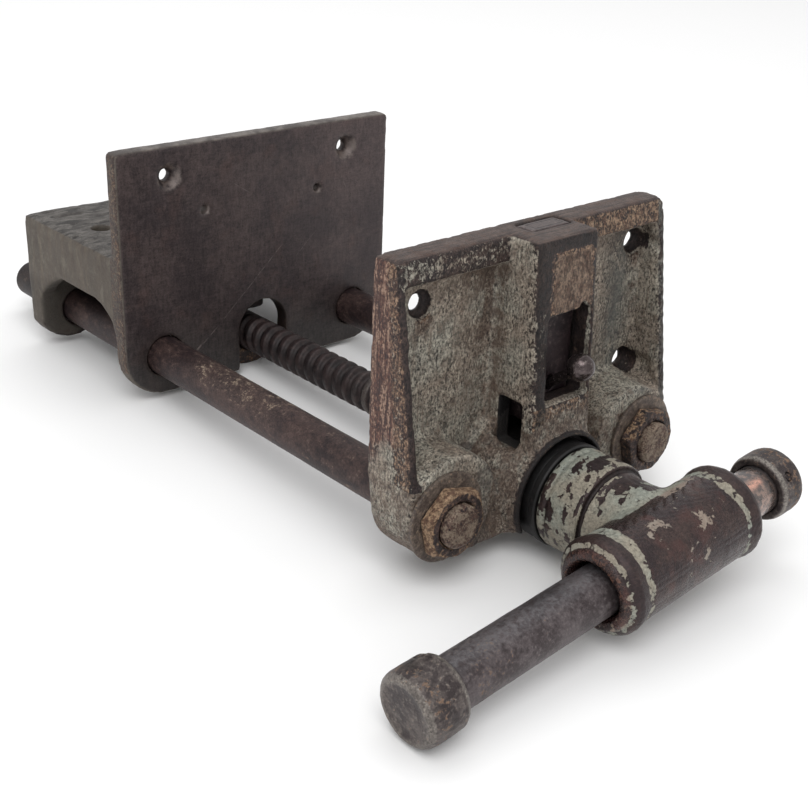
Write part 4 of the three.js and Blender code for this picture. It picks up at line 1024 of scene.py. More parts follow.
# column
put(a, "pw", coll, 0.84)
put(a, "st", coll * band(y, -207, -197, 3), 0.4)
fe = coll * (y < -216)
put(a, "pw", fe, 0.66)
put(a, "pw", colf, 0.32)
put(a, "rw", colf, 0.35)
dog_pad = colf * band(x + 0.8 * fbm(p, 6.0, 3, 161), -8.5, 15.5, 3.0) * band(z + 1.6 * fbm(p, 5.0, 3, 163), -33, -7.5, 3.2)
put(a, "pw", dog_pad, 0.16)
put(a, "rw", dog_pad, 0.95)
lb = colf * (x < -10.5)
put(a, "pw", lb, 0.1)
put(a, "rw", lb, 0.16)
put(a, "dk", lb, 0.34)
jag = 2.6 * fbm(p, 6.0, 3, 151) + 1.2 * fbm(p, 2.2, 2, 153)
put(a, "pw", lb * (1 - smooth(-0.6, 0.6, x + 17.4 - 0.8 * jag)) * (z < -16), 0.76)
put(a, "pw", lb * band(z, -60, -26, 5) * (1 - smooth(-1, 1, x + 12.6 - jag)) * (x + 17.4 - 0.8 * jag > 0), 0.42)
put(a, "dk", lb * (x + 17.4 - 0.8 * jag > 0), 0.74)
put(a, "dk", lb * (x + 17.4 - 0.8 * jag < 0) * (z < -16), 0.05)
lbt = colf * np.maximum(band(x, -19, -12, 1.2) * (z > -30), (z > -6) * 1.0)
put(a, "pw", lbt, 0.02)
put(a, "rw", lbt, 0.02)
put(a, "dk", lbt, 0.8)
rb = colf * (x > 16)
put(a, "pw", rb, 0.14)
put(a, "dk", rb, 0.6)
# the window reveal is painted dark: painted shade in the opening
reveal = (y < -213) * (y > -219.4) * (np.abs(n[:, 1]) < 0.6) * (x > -12.5) * (x < 18.5) * (z > -99) * (z < -20)
put(a, "pw", reveal * 1.0, 0.06)
put(a, "rw", reveal * 1.0, 0.2)
put(a, "dk", reveal * 1.0, 0.45)
lowc = colf * (z < -74)
put(a, "pw", lowc, 0.52)
put(a, "rw", lowc, 0.55)
put(a, "st", lowc, 0.7)
sw_edge = np.exp(-((y + 201.4) / 1.3) ** 2) * band(z, -98, -72, 2) * (x < -17) + np.exp(-((z + 97.2) / 0.9) ** 2) * band(y, -216, -202, 2) * (x < -17)
put(a, "pw", np.clip(sw_edge, 0, 1), 1.0)
put(a, "st", np.clip(sw_edge, 0, 1), 0.0)
# inside the side window: painted shade, dark here and near black below
inw = band(x, -18.6, -8, 0.3) * band(y, -217.6, -202.9, 0.3) * band(z, -96.6, -73.4, 0.3)
put(a, "dk", inw, 1.0)
put(a, "pw", inw, 0.0)
put(a, "rw", inw, 0.0)
# boss, its rim and the recess
put(a, "st", boss * 1.0, 0.62)
put(a, "pw", boss * 1.0, 0.78)
put(a, "dk", boss * 1.0, 0.14)
# the boss rim and the recess round the screw are painted dark: painted shadow
rimb = boss * smooth(-226.0, -228.3, y)
put(a, "dk", rimb, 0.75)
put(a, "pw", rimb, 0.12)
put(a, "dk", ring_in * 1.0, 0.85)
put(a, "pw", ring_in * 1.0, 0.0)
# lobes
put(a, "st", low * 1.0, 0.45)
put(a, "rw", low * 1.0, 0.34)
put(a, "pw", low * 1.0, 0.76)
# faces turned down are darker: painted shade
put(a, "dk", low * smooth(0.5, 0.9, -n[:, 2]), 0.42)
put(a, "st", low * (x < 0) * smooth(-116, -126, z), 0.8)
put(a, "dk", low * (n[:, 0] > 0.3) * (x < 0) * (x > -46), 0.22)
# gripping face, top face, slot
put(a, "pw", grip, 0.0)
put(a, "rw", grip, 0.1)
put(a, "pw", topf, 0.0)
put(a, "rw", topf, 0.22)
# the dog's slot is painted dark: painted shade
put(a, "dk", slotz * 1.0, 0.62)
put(a, "pw", slotz * 1.0, 0.05)
put(a, "rw", slotz * 1.0, 0.05)
# the bores are painted dark: painted shade
put(a, "dk", (1 - smooth(10.9, 11.8, bores)) * 1.0, 0.7)
for hx, hz in JAW_HOLES:
    r = off_axis(p, hx, hz)
    inside = (1 - smooth(5.9, 6.6, r)) * (y > -200)
    # the hole's inside is darkened: painted shade
    put(a, "pw", inside, 0.0)
    put(a, "dk", inside, 0.55)
    dz = np.clip((hz - z) / 17, 0, 1.2)
    drip = np.exp(-((x - hx - 2 - 2.0 * fbm(p, 7.0, 2, 141)) / (5.2 * (1.15 - 0.5 * dz))) ** 2) * (z < hz - 3) * (1 - smooth(0.35, 1.0, dz)) * panel * (1 - inside)
    put(a, "rw", drip, 0.66)
    put(a, "pw", drip, 0.5)
    put(a, "st", drip, 1.0)
a["mz"] = np.clip(grip, 0, 1)
# near-black painted shade in the side window, the recess round the screw, the boss rim and the slot
a["painted_shade_black"] = np.clip(inw * 1.0 + ring_in * 0.8 + rimb * 0.6 + slotz * (x > -11.4) * (x < 17.2) * (z < -36) * (y > -213.2) * 0.7
                   + band(x, -18.9, -10, 0.2) * band(y, -217.4, -203.1, 0.2) * band(z, -96.4, -73.6, 0.2), 0, 1)
a["topz"] = topf
a["padz"] = dog_pad
a["brn"] = np.clip(panel * (np.exp(-((z + 17) / 9) ** 2) * 0.4 + (x < 0) * np.exp(-((x + 30) / 7) ** 2) * 0.4) + coll * np.exp(-((y + 200) / 5) ** 2) * 0.6
                   + low * 0.35 + boss * 0.3 + rimf * (z < -60) * 0.2, 0, 0.8)
a["blu"] = np.clip(nf * (x > 50) * np.exp(-((x - 66) / 7) ** 2) * band(z, -92, -12, 10) * 0.55 + rrim * 0.5 + low * (x > -46) * (x < 0) * 0.3, 0, 0.8)


def front_extra(m, k):
    bw, bl = m.attr("brn"), m.attr("blu")
    k["col"] = m.mix(m.mul(bw, m.mul(k["paint"], m.ramp(k["clot"], 0.34, 0.6))), k["col"], C(88, 72, 62))
    k["col"] = m.mix(m.mul(bl, m.mul(k["paint"], m.ramp(k["clot"], 0.3, 0.55))), k["col"], C(66, 70, 70))
    mz, topz, redz, padz = (m.attr(x) for x in ("mz", "topz", "redz", "padz"))
    q = m.xyz()
    strk = m.noise(1.7, 4.0, 0.7, squeeze=(1.0, 1.0, 0.09), off=(0, 9, 0))
    q1 = m.add(strk, m.mul(m.sub(k["crumb"], 0.5), 0.8), m.mul(m.sub(k["clot"], 0.5), 0.5))
    rc = m.mix(m.ramp(m.noise(7.0, 3.0, 0.6, squeeze=(1, 1, 0.3)), 0.4, 0.6), C(78, 54, 48), C(100, 70, 60))
    rc = m.mix(m.ramp(q1, 0.53, 0.61), rc, C(146, 120, 104))
    rc = m.mix(m.ramp(q1, 0.46, 0.40), rc, C(60, 42, 42))
    rc = m.shadeby(rc, m.add(1.0, m.mul(m.sub(k["fine"], 0.5), 1.2), m.mul(k["bits"], 0.16)))
    k["col"] = m.mix(m.mul(redz, 0.9), k["col"], rc)
    # machined gripping face
    a = m.noise(26.0, 4.0, 0.6, off=(9, 0, 2))
    b = m.noise(5.0, 5.0, 0.66)
    mc = m.mix(m.ramp(m.add(m.mul(a, 0.6), m.mul(b, 0.4)), 0.36, 0.64), C(54, 45, 44), C(80, 66, 62))
    mc = m.shadeby(mc, m.add(1.0, m.mul(m.sub(k["fine"], 0.5), 0.9), m.mul(m.sub(b, 0.5), 0.7)))
    k["col"] = m.mix(mz, k["col"], mc)
    # machined top with fine lines along it
    ln = m.noise(1.2, 3.0, 0.7, squeeze=(0.05, 1.0, 1.0), off=(2, 0, 0))
    tc = m.mix(m.ramp(m.add(m.mul(ln, 0.6), m.mul(b, 0.4)), 0.4, 0.62), C(58, 48, 46), C(98, 82, 75))
    tc = m.mix(m.mul(m.ramp(m.noise(9.0, 3.0, 0.6), 0.5, 0.65), 0.5), tc, C(86, 62, 50))
    tc = m.shadeby(tc, m.add(1.0, m.mul(m.sub(k["fine"], 0.5), 0.9), m.mul(k["bits"], 0.12)))
    k["col"] = m.mix(m.mul(topz, 0.9), k["col"], tc)
    k["metal"] = m.lerp(m.math("MAXIMUM", mz, topz), k["metal"], 0.35)
    pc = m.mix(m.ramp(m.add(m.mul(m.noise(5.0, 4.0, 0.6, off=(1, 1, 1)), 0.6), m.mul(m.noise(1.6, 4.0, 0.7, squeeze=(1, 1, 0.3)), 0.4)), 0.43, 0.57), C(74, 56, 46), C(112, 94, 80))
    pc = m.shadeby(pc, m.add(1.0, m.mul(m.sub(k["fine"], 0.5), 1.6), m.mul(m.sub(k["grit"], 0.5), 1.3), m.mul(k["bits"], 0.5)))
    pk = m.ramp(m.add(padz, m.mul(m.sub(k["clot"], 0.5), 1.5), m.mul(m.sub(k["crumb"], 0.5), 1.0)), 0.42, 0.62)
    k["col"] = m.mix(pk, k["col"], pc)
    # near-black painted shade in the openings
    painted_shade_black = m.attr("painted_shade_black")
    k["col"] = m.mix(m.mul(painted_shade_black, 0.93), k["col"], C(20, 18, 19))


SAGE = dict(paint=C(138, 134, 123), paint2=C(128, 117, 105), stain=C(92, 75, 64), bare=C(48, 39, 39), bare2=C(70, 56, 51),
            rust=C(84, 60, 48), rust2=C(132, 110, 90))
mat_front = worn_cast("front_casting", **SAGE, chip=2.4, chip_amp=1.0, fine_amp=1.0, crisp=0.06, grain=0.46, streak=0.6,
                      speck=0.85, thick=0.1, lumps=0.12, extra=front_extra, seed=2.0, shade=0.4, salt=0.5, clots=0.72, relief=1.7,
                      pale=C(166, 160, 146), peppery=0.85, bit=1.05, flow=0.62)
build("front_jaw", sh, "sliding_jaw", ["front_jaw_casting"], mat_front)


# --------------------------------------------------------------- handle hub
def hub_keep(p):
    q = p - HANDLE_O
    t = q @ HANDLE_DIR
    rr = np.linalg.norm(q - t[:, None] * HANDLE_DIR, axis=1)
    w = 1 - smooth(14.4, 15.5, rr)
    w = np.maximum(w, 1 - smooth(12.0, 13.5, off_axis(p, 0, SCREW_Z)))
    w = np.maximum(w, band(p[:, 1], -240.6, -237.8, 0.4) * (off_axis(p, 0, SCREW_Z) > 20))
    w = np.maximum(w, band(p[:, 1], -258.2, -255.8, 0.4) * (off_axis(p, 0, SCREW_Z) > 20) * 0.6)
    return w


sh = cast("handle_hub", 0.6, 0.42, 2.4, hub_keep)
p, n = sh.p, sh.n
q = p - HANDLE_O
t = q @ HANDLE_DIR
rad = q - t[:, None] * HANDLE_DIR
rr = np.linalg.norm(rad, axis=1)
rc = off_axis(p, 0, SCREW_Z)
tabs = np.where(t > 0, t + 6.0, -t)                               # 48 at both ends of the barrel
inner = (rr < 13.6) & (tabs < 48.5) | (rc < 11.2) & (p[:, 1] > -266)
quiet = np.where(inner, 0.0, 1.0) * smooth(-235.4, -237.5, p[:, 1])
d = 0.16 * fbm(p, 9.0, 3, 203) + 0.05 * fbm(p, 2.6, 2, 207)
d -= smooth(0.3, 0.8, sh.attr["edge"]) * np.clip(fbm(p, 5.0, 2, 211), 0, 1) * 0.5
# the collar ends in a sharp little step in front of the neck
step = np.exp(-((p[:, 1] + 257.7) / 0.8) ** 2) * (rc > 18) * (rc < 22.6)
d -= 0.4 * step
sh.p = p + n * (d * quiet)[:, None]
a = paint_of(sh, 0.7, 0.05, 0.0, 0.12)
barrel = (rr < 23.8) & (p[:, 1] < -262) & ((np.abs(t) > 21.5) | (p[:, 1] < -280))
barrel = barrel * 1.0
ang = np.degrees(np.arctan2(rad @ HANDLE_UP, -(rad @ BACK)))      # 0 faces forward, 90 up
put(a, "pw", barrel, 0.14)
put(a, "rw", barrel, 0.1)
# flecks of paint low on the front of the barrel and near the neck
wag = 1 + 0.5 * fbm(p, 5.0, 2, 219)
fl = np.exp(-((t + 17) / 10) ** 2 - ((ang - 72) / 22) ** 2)
fl = np.maximum(fl, np.exp(-((t - 8) / 9) ** 2 - ((ang - 62) / 28) ** 2))
fl = np.maximum(fl, 0.85 * np.exp(-((t + 2) / 7) ** 2 - ((ang - 22) / 16) ** 2))
fl = np.maximum(fl, 0.7 * np.exp(-((t + 11) / 4.5) ** 2 - ((ang + 8) / 18) ** 2))
put(a, "pw", barrel * np.clip(fl * 1.2 * wag, 0, 1), 0.435)
put(a, "pw", barrel * smooth(96, 108, ang) * (t > 2), 0.62)
put(a, "pw", barrel * (ang < -60), 0.48)
bead = band(tabs, 36.2, 43.8, 1.0) * (rr > 15) * (p[:, 1] < -262)
groove = np.maximum(band(tabs, 33.4 - 2.6 * smooth(20, 90, ang) * (t < 0) - 2.2 * smooth(30, 70, ang) * (t > 0) + 0.8 * fbm(p, 5.0, 2, 221), 37.4 - 0.5 * (t > 0), 0.8), 0.8 * band(tabs, 43.9, 45.9, 0.5) * (t < 0)) * (rr > 15) * (p[:, 1] < -262)
put(a, "pw", bead, 0.1)
put(a, "pw", groove, np.where(t > 0, 0.53 + 0.08 * smooth(10, 80, ang), 0.60 + 0.16 * smooth(10, 80, ang)))
put(a, "st", groove, 0.2)
lip = (tabs > 45.6) * (rr > 12.5)
put(a, "pw", lip, 0.2)
put(a, "rw", lip, 0.42)
put(a, "pw", lip * band(ang, -80, 30, 12) * (t < 0), 0.5)
put(a, "st", lip * 1.0, 0.6)
collar = (p[:, 1] > -256.5) & (rc > 20)
put(a, "pw", collar * 1.0, 0.745)
rang = np.degrees(np.arctan2(p[:, 2] - SCREW_Z, -p[:, 0]))             # 90 up, 0 to the left
for yc, ac, wy, wa, v in ((-249.5, 84, 3.4, 12, 0.0), (-244.0, 66, 1.7, 9, 0.1), (-252.0, 60, 1.4, 6, 0.1), (-246.5, 44, 1.3, 5, 0.15), (-250.0, 34, 1.2, 4, 0.2), (-247.0, 108, 1.4, 12, 0.1), (-252.5, 112, 1.5, 9, 0.2), (-237.5, 40, 0.8, 10, 0.3),
                          (-239.4, 15, 2.8, 9, 0.1), (-242.2, 6, 2.2, 8, 0.1), (-255.4, 30, 0.7, 14, 0.2), (-241.0, -14, 1.3, 16, 0.25), (-238.8, -26, 1.8, 5, 0.1), (-245.5, -26, 1.2, 6, 0.2),
                          (-248.0, -8, 1.1, 4, 0.2), (-250.5, 16, 1.2, 4, 0.2), (-253.5, -10, 1.2, 5, 0.3), (-236.0, 24, 0.6, 30, 0.4)):
    put(a, "pw", collar * np.exp(-((p[:, 1] - yc) / wy) ** 2 - ((rang - ac) / wa) ** 2), v)
neck = ((p[:, 1] <= -256.5) & (p[:, 1] > -276)) & (barrel < 0.5)
put(a, "pw", neck * 1.0, 0.84)
for yc, ac, wy, wa, v in ((-266.5, 70, 2.4, 10, 0.15), (-270.5, 58, 1.8, 7, 0.2), (-262.5, 46, 1.4, 8, 0.25), (-264.0, 30, 1.0, 6, 0.3), (-259.6, 60, 0.8, 9, 0.2), (-264.0, 82, 3.2, 12, 0.12), (-261.0, 66, 1.6, 10, 0.15), (-268.5, 92, 2.6, 12, 0.15)):
    put(a, "pw", neck * np.exp(-((p[:, 1] - yc) / wy) ** 2 - ((rang - ac) / wa) ** 2), v)
put(a, "pw", neck * smooth(84, 96, rang) * (1 - 0.7 * np.exp(-((p[:, 1] + 270) / 3.0) ** 2)), 0.22)
# the bores are painted dark: painted shade
put(a, "dk", np.where(inner, 1.0, 0.0), 0.75)
put(a, "pw", np.where(inner, 1.0, 0.0), 0.0)
ring = (np.abs(p[:, 1] + 239.2) < 0.7) & (rc > 20)
put(a, "dk", ring * 1.0, 0.25)
put(a, "pw", ring * 1.0, 0.6)
# painted shadow under the little step in front of the neck
step_shadow = np.clip(step * 1.2, 0, 1)
put(a, "dk", step_shadow, 0.72)
put(a, "pw", step_shadow, 0.12)
put(a, "pw", band(p[:, 1], -258.4, -256.6, 0.3) * (rc > 20.6) * (rc < 23.8) * smooth(20, 44, rang), 0.2)
# the face against the thrust ring is darkened: painted shade between parts
put(a, "dk", (p[:, 1] > -235.4) * 1.0, 0.6)
a["bz"] = barrel * (1 - bead) * (1 - groove)


def hub_extra(m, k):
    bz = m.attr("bz")
    b = m.noise(11.0, 3.0, 0.55, off=(4, 4, 4))
    red = m.ramp(b, 0.5, 0.66)
    bare = m.sub(1.0, k["paint"])
    k["col"] = m.mix(m.mul(m.mul(bz, bare), m.mul(red, 0.5)), k["col"], C(82, 54, 50))
    k["col"] = m.mix(m.mul(m.mul(bz, k["paint"]), 0.55), k["col"], C(132, 110, 100))
    # old oil creeping over the paint round the chips
    k["r"] = m.sub(k["r"], m.mul(bz, 0.14))


mat_hub = worn_cast("hub_paint", paint=C(134, 138, 128), paint2=C(138, 131, 117), stain=C(122, 108, 90), bare=C(48, 38, 39),
                    bare2=C(66, 52, 49), rust=C(70, 44, 36), rust2=C(92, 62, 48), chip=4.2, chip_amp=1.5, fine_amp=0.4, blobs=2.2,
                    crisp=0.03, grain=0.27, streak=0.15, speck=0.5, thick=0.22, rough=(0.4, 0.6), lumps=0.06, metal=0.5,
                    extra=hub_extra, seed=3.0, shade=0.35, salt=0.16, clots=0.22, relief=0.9,
                    pale=C(160, 160, 148), peppery=0.35)
build("hub", sh, "screw", ["handle_hub"], mat_hub)


# ------------------------------------------------- handle bar, caps and pins
def flat_attr(sh, **kw):
    for k in ("rw", "dk", "lt"):
        sh.attr.setdefault(k, np.full(len(sh.p), float(kw.get(k, 0.0))))
    return sh.attr


BAR = dict(dark=C(64, 56, 57), mid_c=C(90, 82, 83), light=C(120, 116, 114), rust=C(72, 55, 48), rust2=C(100, 82, 70))


def bar_extra(m, k):
    stub, painted_sky_reflection = m.attr("stub"), m.attr("painted_sky_reflection")
    c = m.mix(m.ramp(m.noise(3.0, 4.0, 0.65, off=(2, 9, 4)), 0.42, 0.6), C(112, 106, 104), C(168, 146, 136))
    k["col"] = m.mix(m.mul(stub, 0.85), k["col"], c)
    k["r"] = m.lerp(stub, k["r"], m.mul(k["r"], 0.5))
    k["metal"] = m.lerp(stub, k["metal"], 0.9)
    # painted reflection: blue-grey on the bar's upper side
    k["col"] = m.mix(m.mul(painted_sky_reflection, m.ramp(k["mid"], 0.3, 0.6), 0.32), k["col"], C(98, 102, 106))
    # painted highlight: a warm bright stripe along the stub
    painted_warm_highlight = m.mul(m.attr("painted_warm_highlight"), m.ramp(k["mid"], 0.3, 0.55))
    k["col"] = m.mix(m.mul(painted_warm_highlight, 0.95), k["col"], C(236, 182, 162))


mat_bar = steel("bar_steel", **BAR, metal=0.5, rough=(0.36, 0.58), blot=14.0, mott=1.8, grain=0.26, pitshare=0.12,
                rust_bias=0.04, seed=4.0, relief=0.9, salt=0.12, extra=bar_extra, spots=0.25)
sh = turned([(0, -146.4), (10.2, -146.4), (11.2, -145.4), (11.2, 75.2), (10.2, 76.2), (0, 76.2)], HANDLE_O, HANDLE_DIR,
            HANDLE_UP, seg=80, r=0.3, step=1.6)
tt = (sh.p - HANDLE_O) @ HANDLE_DIR
sh.p = sh.p + sh.n * (0.07 * fbm(sh.p, 10.0, 3, 301) - 0.12 * np.clip(fbm(sh.p, 5.0, 2, 305) - 0.25, 0, 1))[:, None]
a = flat_attr(sh, rw=0.12)
radial = (sh.p - HANDLE_O) - tt[:, None] * HANDLE_DIR
bang = np.degrees(np.arctan2(radial @ HANDLE_UP, -(radial @ BACK)))
put(a, "rw", band(tt, -124, -104, 8), 0.3)
# darker where the bar enters each cap: painted shade in the joint
put(a, "dk", band(tt, -130, -126.4, 0.8), 0.35)
put(a, "dk", band(tt, 60.0, 63.0, 0.6), 0.4)
put(a, "lt", band(tt, 43.0, 62.0, 2.0), 0.5)
a["stub"] = band(tt, 42.0, 61.5, 1.5)
# band on the upper side for the painted reflection
a["painted_sky_reflection"] = band(bang, 62, 150, 18)
# where the painted warm highlight lies on the stub
a["painted_warm_highlight"] = band(tt, 44.5, 57.0, 1.6) * np.exp(-((bang - 62) / 9) ** 2)
build("bar", sh, "handle", ["handle_bar"], mat_bar)


def bar_cap(side, name):
    sh = cast("handle_cap_" + name, 0.5, 0.42, 1.2, lambda p: np.linalg.norm(
        (p - HANDLE_O) - ((p - HANDLE_O) @ HANDLE_DIR)[:, None] * HANDLE_DIR, axis=1) < 12.6)
    p, n = sh.p, sh.n
    q = p - HANDLE_O
    t = q @ HANDLE_DIR
    rad = np.linalg.norm(q - t[:, None] * HANDLE_DIR, axis=1)
    end = -148.4 if side < 0 else 78.2
    inwards = (end - t) * side                                # 0 at the outer face
    long = 19.8 if side < 0 else 15.7
    inner = (rad < 12.0) & (inwards > 0.9)
    d = 0.12 * fbm(p, 8.0, 3, 311 + side) - 0.25 * np.clip(fbm(p, 4.0, 2, 317 + side) - 0.3, 0, 1)
    d -= smooth(0.3, 0.9, sh.attr["edge"]) * np.clip(fbm(p, 4.0, 2, 323), 0, 1) * 0.55
    # the end is dished a little, with a turned lip
    dish = (inwards < 1.0) * (1 - smooth(8.5, 12.4, rad)) * 0.55
    seam = band(inwards, 15.6, 16.2, 0.3) * (rad > 14) * 0.22 if side < 0 else 0.0
    sh.p = p + n * ((d - dish - seam) * np.where(inner, 0.0, 1.0))[:, None]
    a = flat_attr(sh, rw=0.18)
    put(a, "lt", (inwards < 2.0) * band(rad, 11.8, 15.9, 0.8), 0.5)
    put(a, "rw", band(inwards, 3, 9, 2) * 1.0, 0.34)
    put(a, "dk", band(inwards, 5.5, 10.5, 2.5) * (rad > 13) * smooth(-0.2, 0.4, fbm(p, 9.0, 2, 331)), 0.45)
    # a bright line on the inner rim edge: painted highlight
    put(a, "lt", band(inwards, long - 2.6, long - 0.6, 0.5) * (rad > 12.9), 0.95 if side > 0 else 0.6)
    put(a, "rw", band(inwards, long - 2.6, long - 0.6, 0.5) * (rad > 12.9), 0.0)
    # the inner end face next to the bar and the bore are darkened: painted shade
    put(a, "dk", (inwards > long - 0.7) * (rad < 14.2) * 1.0, 0.35)
    put(a, "dk", inner * 1.0, 0.7)
    mat = steel("cap_steel_" + name, dark=C(58, 50, 50), mid_c=C(90, 82, 79), light=C(132, 126, 119), rust=C(76, 57, 48),
                rust2=C(112, 90, 74), metal=0.45, rough=(0.4, 0.62), blot=8.0, mott=2.6, grain=0.28, pitshare=0.3,
                rust_bias=0.05 if side < 0 else 0.12, seed=5.0 + side, relief=1.4, salt=0.16)
    build("bar_cap_" + name, sh, "handle", ["handle_cap_" + name], mat)
    phi = -0.55 if side < 0 else 0.9
    tp = -133.1 if side < 0 else 69.0
    axis = math.cos(phi) * HANDLE_UP - math.sin(phi) * BACK
    L = 14.9
    pin = turned([(0, -L), (1.5, -L), (2.0, -L + 0.6), (2.0, L - 0.6), (1.5, L), (0, L)], HANDLE_O + HANDLE_DIR * tp, axis,
                 HANDLE_DIR, seg=24, r=0.2, step=1.0)
    flat_attr(pin, rw=0.35, dk=0.35)
    build("bar_cap_pin_" + name, pin, "handle", ["cap_pin_" + name], mat_pin)


mat_pin = steel("pin_steel", dark=C(50, 42, 42), mid_c=C(74, 64, 62), light=C(104, 96, 92), rust=C(84, 58, 44), rust2=C(108, 80, 60),
                metal=0.6, rough=(0.4, 0.6), blot=5.0, mott=1.6, grain=0.15, pitshare=0.3, seed=6.0)
bar_cap(-1, "left")
bar_cap(1, "right")
pd = np.array([0.57, 0.0, 0.82]) / math.hypot(0.57, 0.82)
sh = turned([(0, -23.2), (2.2, -23.0), (3.0, -22.3), (3.0, 22.3), (2.2, 23.0), (0, 23.2)], (0, -247, SCREW_Z), pd, BACK, seg=32,
            r=0.4, step=1.0)
flat_attr(sh, rw=0.3, dk=0.2)
build("cross_pin", sh, "screw", ["hub_pin"], mat_pin)

# -------------------------------------------- guide rods, washers and nuts
mat_rod = steel("rod_steel", dark=C(47, 35, 36), mid_c=C(69, 53, 50), light=C(96, 80, 74), rust=C(78, 56, 48), rust2=C(118, 104, 90),
                metal=0.4, rough=(0.42, 0.62), blot=16.0, mott=3.2, grain=0.34, pitshare=0.3, seed=7.0, relief=1.3,
                squeeze=(1.0, 0.6, 1.0), salt=0.24)
mat_washer = steel("washer_steel", dark=C(82, 71, 65), mid_c=C(106, 94, 85), light=C(130, 118, 106), rust=C(82, 64, 52),
                   rust2=C(118, 100, 82), metal=0.25, rough=(0.5, 0.7), blot=6.0, mott=2.0, grain=0.46, pitshare=0.3, seed=8.0,
                   relief=1.5, salt=0.2)


def dog_extra(m, k):
    """Wear lines on the dog's top face, set in from its edge."""
    top = m.attr("dtop")
    q = m.xyz()
    ex = m.math("ABSOLUTE", m.sub(m.math("ABSOLUTE", m.sub(q[0], 4.4)), 8.6))
    ey = m.math("ABSOLUTE", m.sub(m.math("ABSOLUTE", m.add(q[1], 200.6)), 2.9))
    inx = m.ramp(m.math("ABSOLUTE", m.sub(q[0], 4.4)), 8.5, 9.2, 1.0, 0.0)
    iny = m.ramp(m.math("ABSOLUTE", m.add(q[1], 200.6)), 2.8, 3.4, 1.0, 0.0)
    ln = m.math("MAXIMUM", m.mul(m.ramp(ex, 0.15, 0.6, 1.0, 0.0), iny), m.mul(m.ramp(ey, 0.15, 0.6, 1.0, 0.0), inx))
    ln = m.mul(ln, top, m.ramp(k["mid"], 0.3, 0.5))
    k["col"] = m.mix(m.mul(ln, 0.85), k["col"], C(30, 24, 25))
    k["h"] = m.sub(k["h"], m.mul(ln, 0.2))


def nut_extra(m, k):
    oc = m.attr("ochre")
    b = m.noise(2.2, 4.0, 0.65, off=(8, 1, 0))
    c = m.mix(m.ramp(b, 0.42, 0.58), C(86, 62, 47), C(144, 119, 94))
    c = m.shadeby(c, m.add(1.0, m.mul(m.sub(k["fine"], 0.5), 1.4), m.mul(k["bits"], 0.2)))
    keep = m.ramp(m.add(oc, m.mul(m.sub(k["mid"], 0.5), 1.6), m.mul(m.sub(k["crumb"], 0.5), 0.8)), 0.42, 0.58)
    k["col"] = m.mix(keep, k["col"], c)
    k["h"] = m.add(k["h"], m.mul(keep, m.mul(b, 0.16)))
    k["r"] = m.lerp(keep, k["r"], 0.78)
    k["metal"] = m.lerp(keep, k["metal"], 0.0)


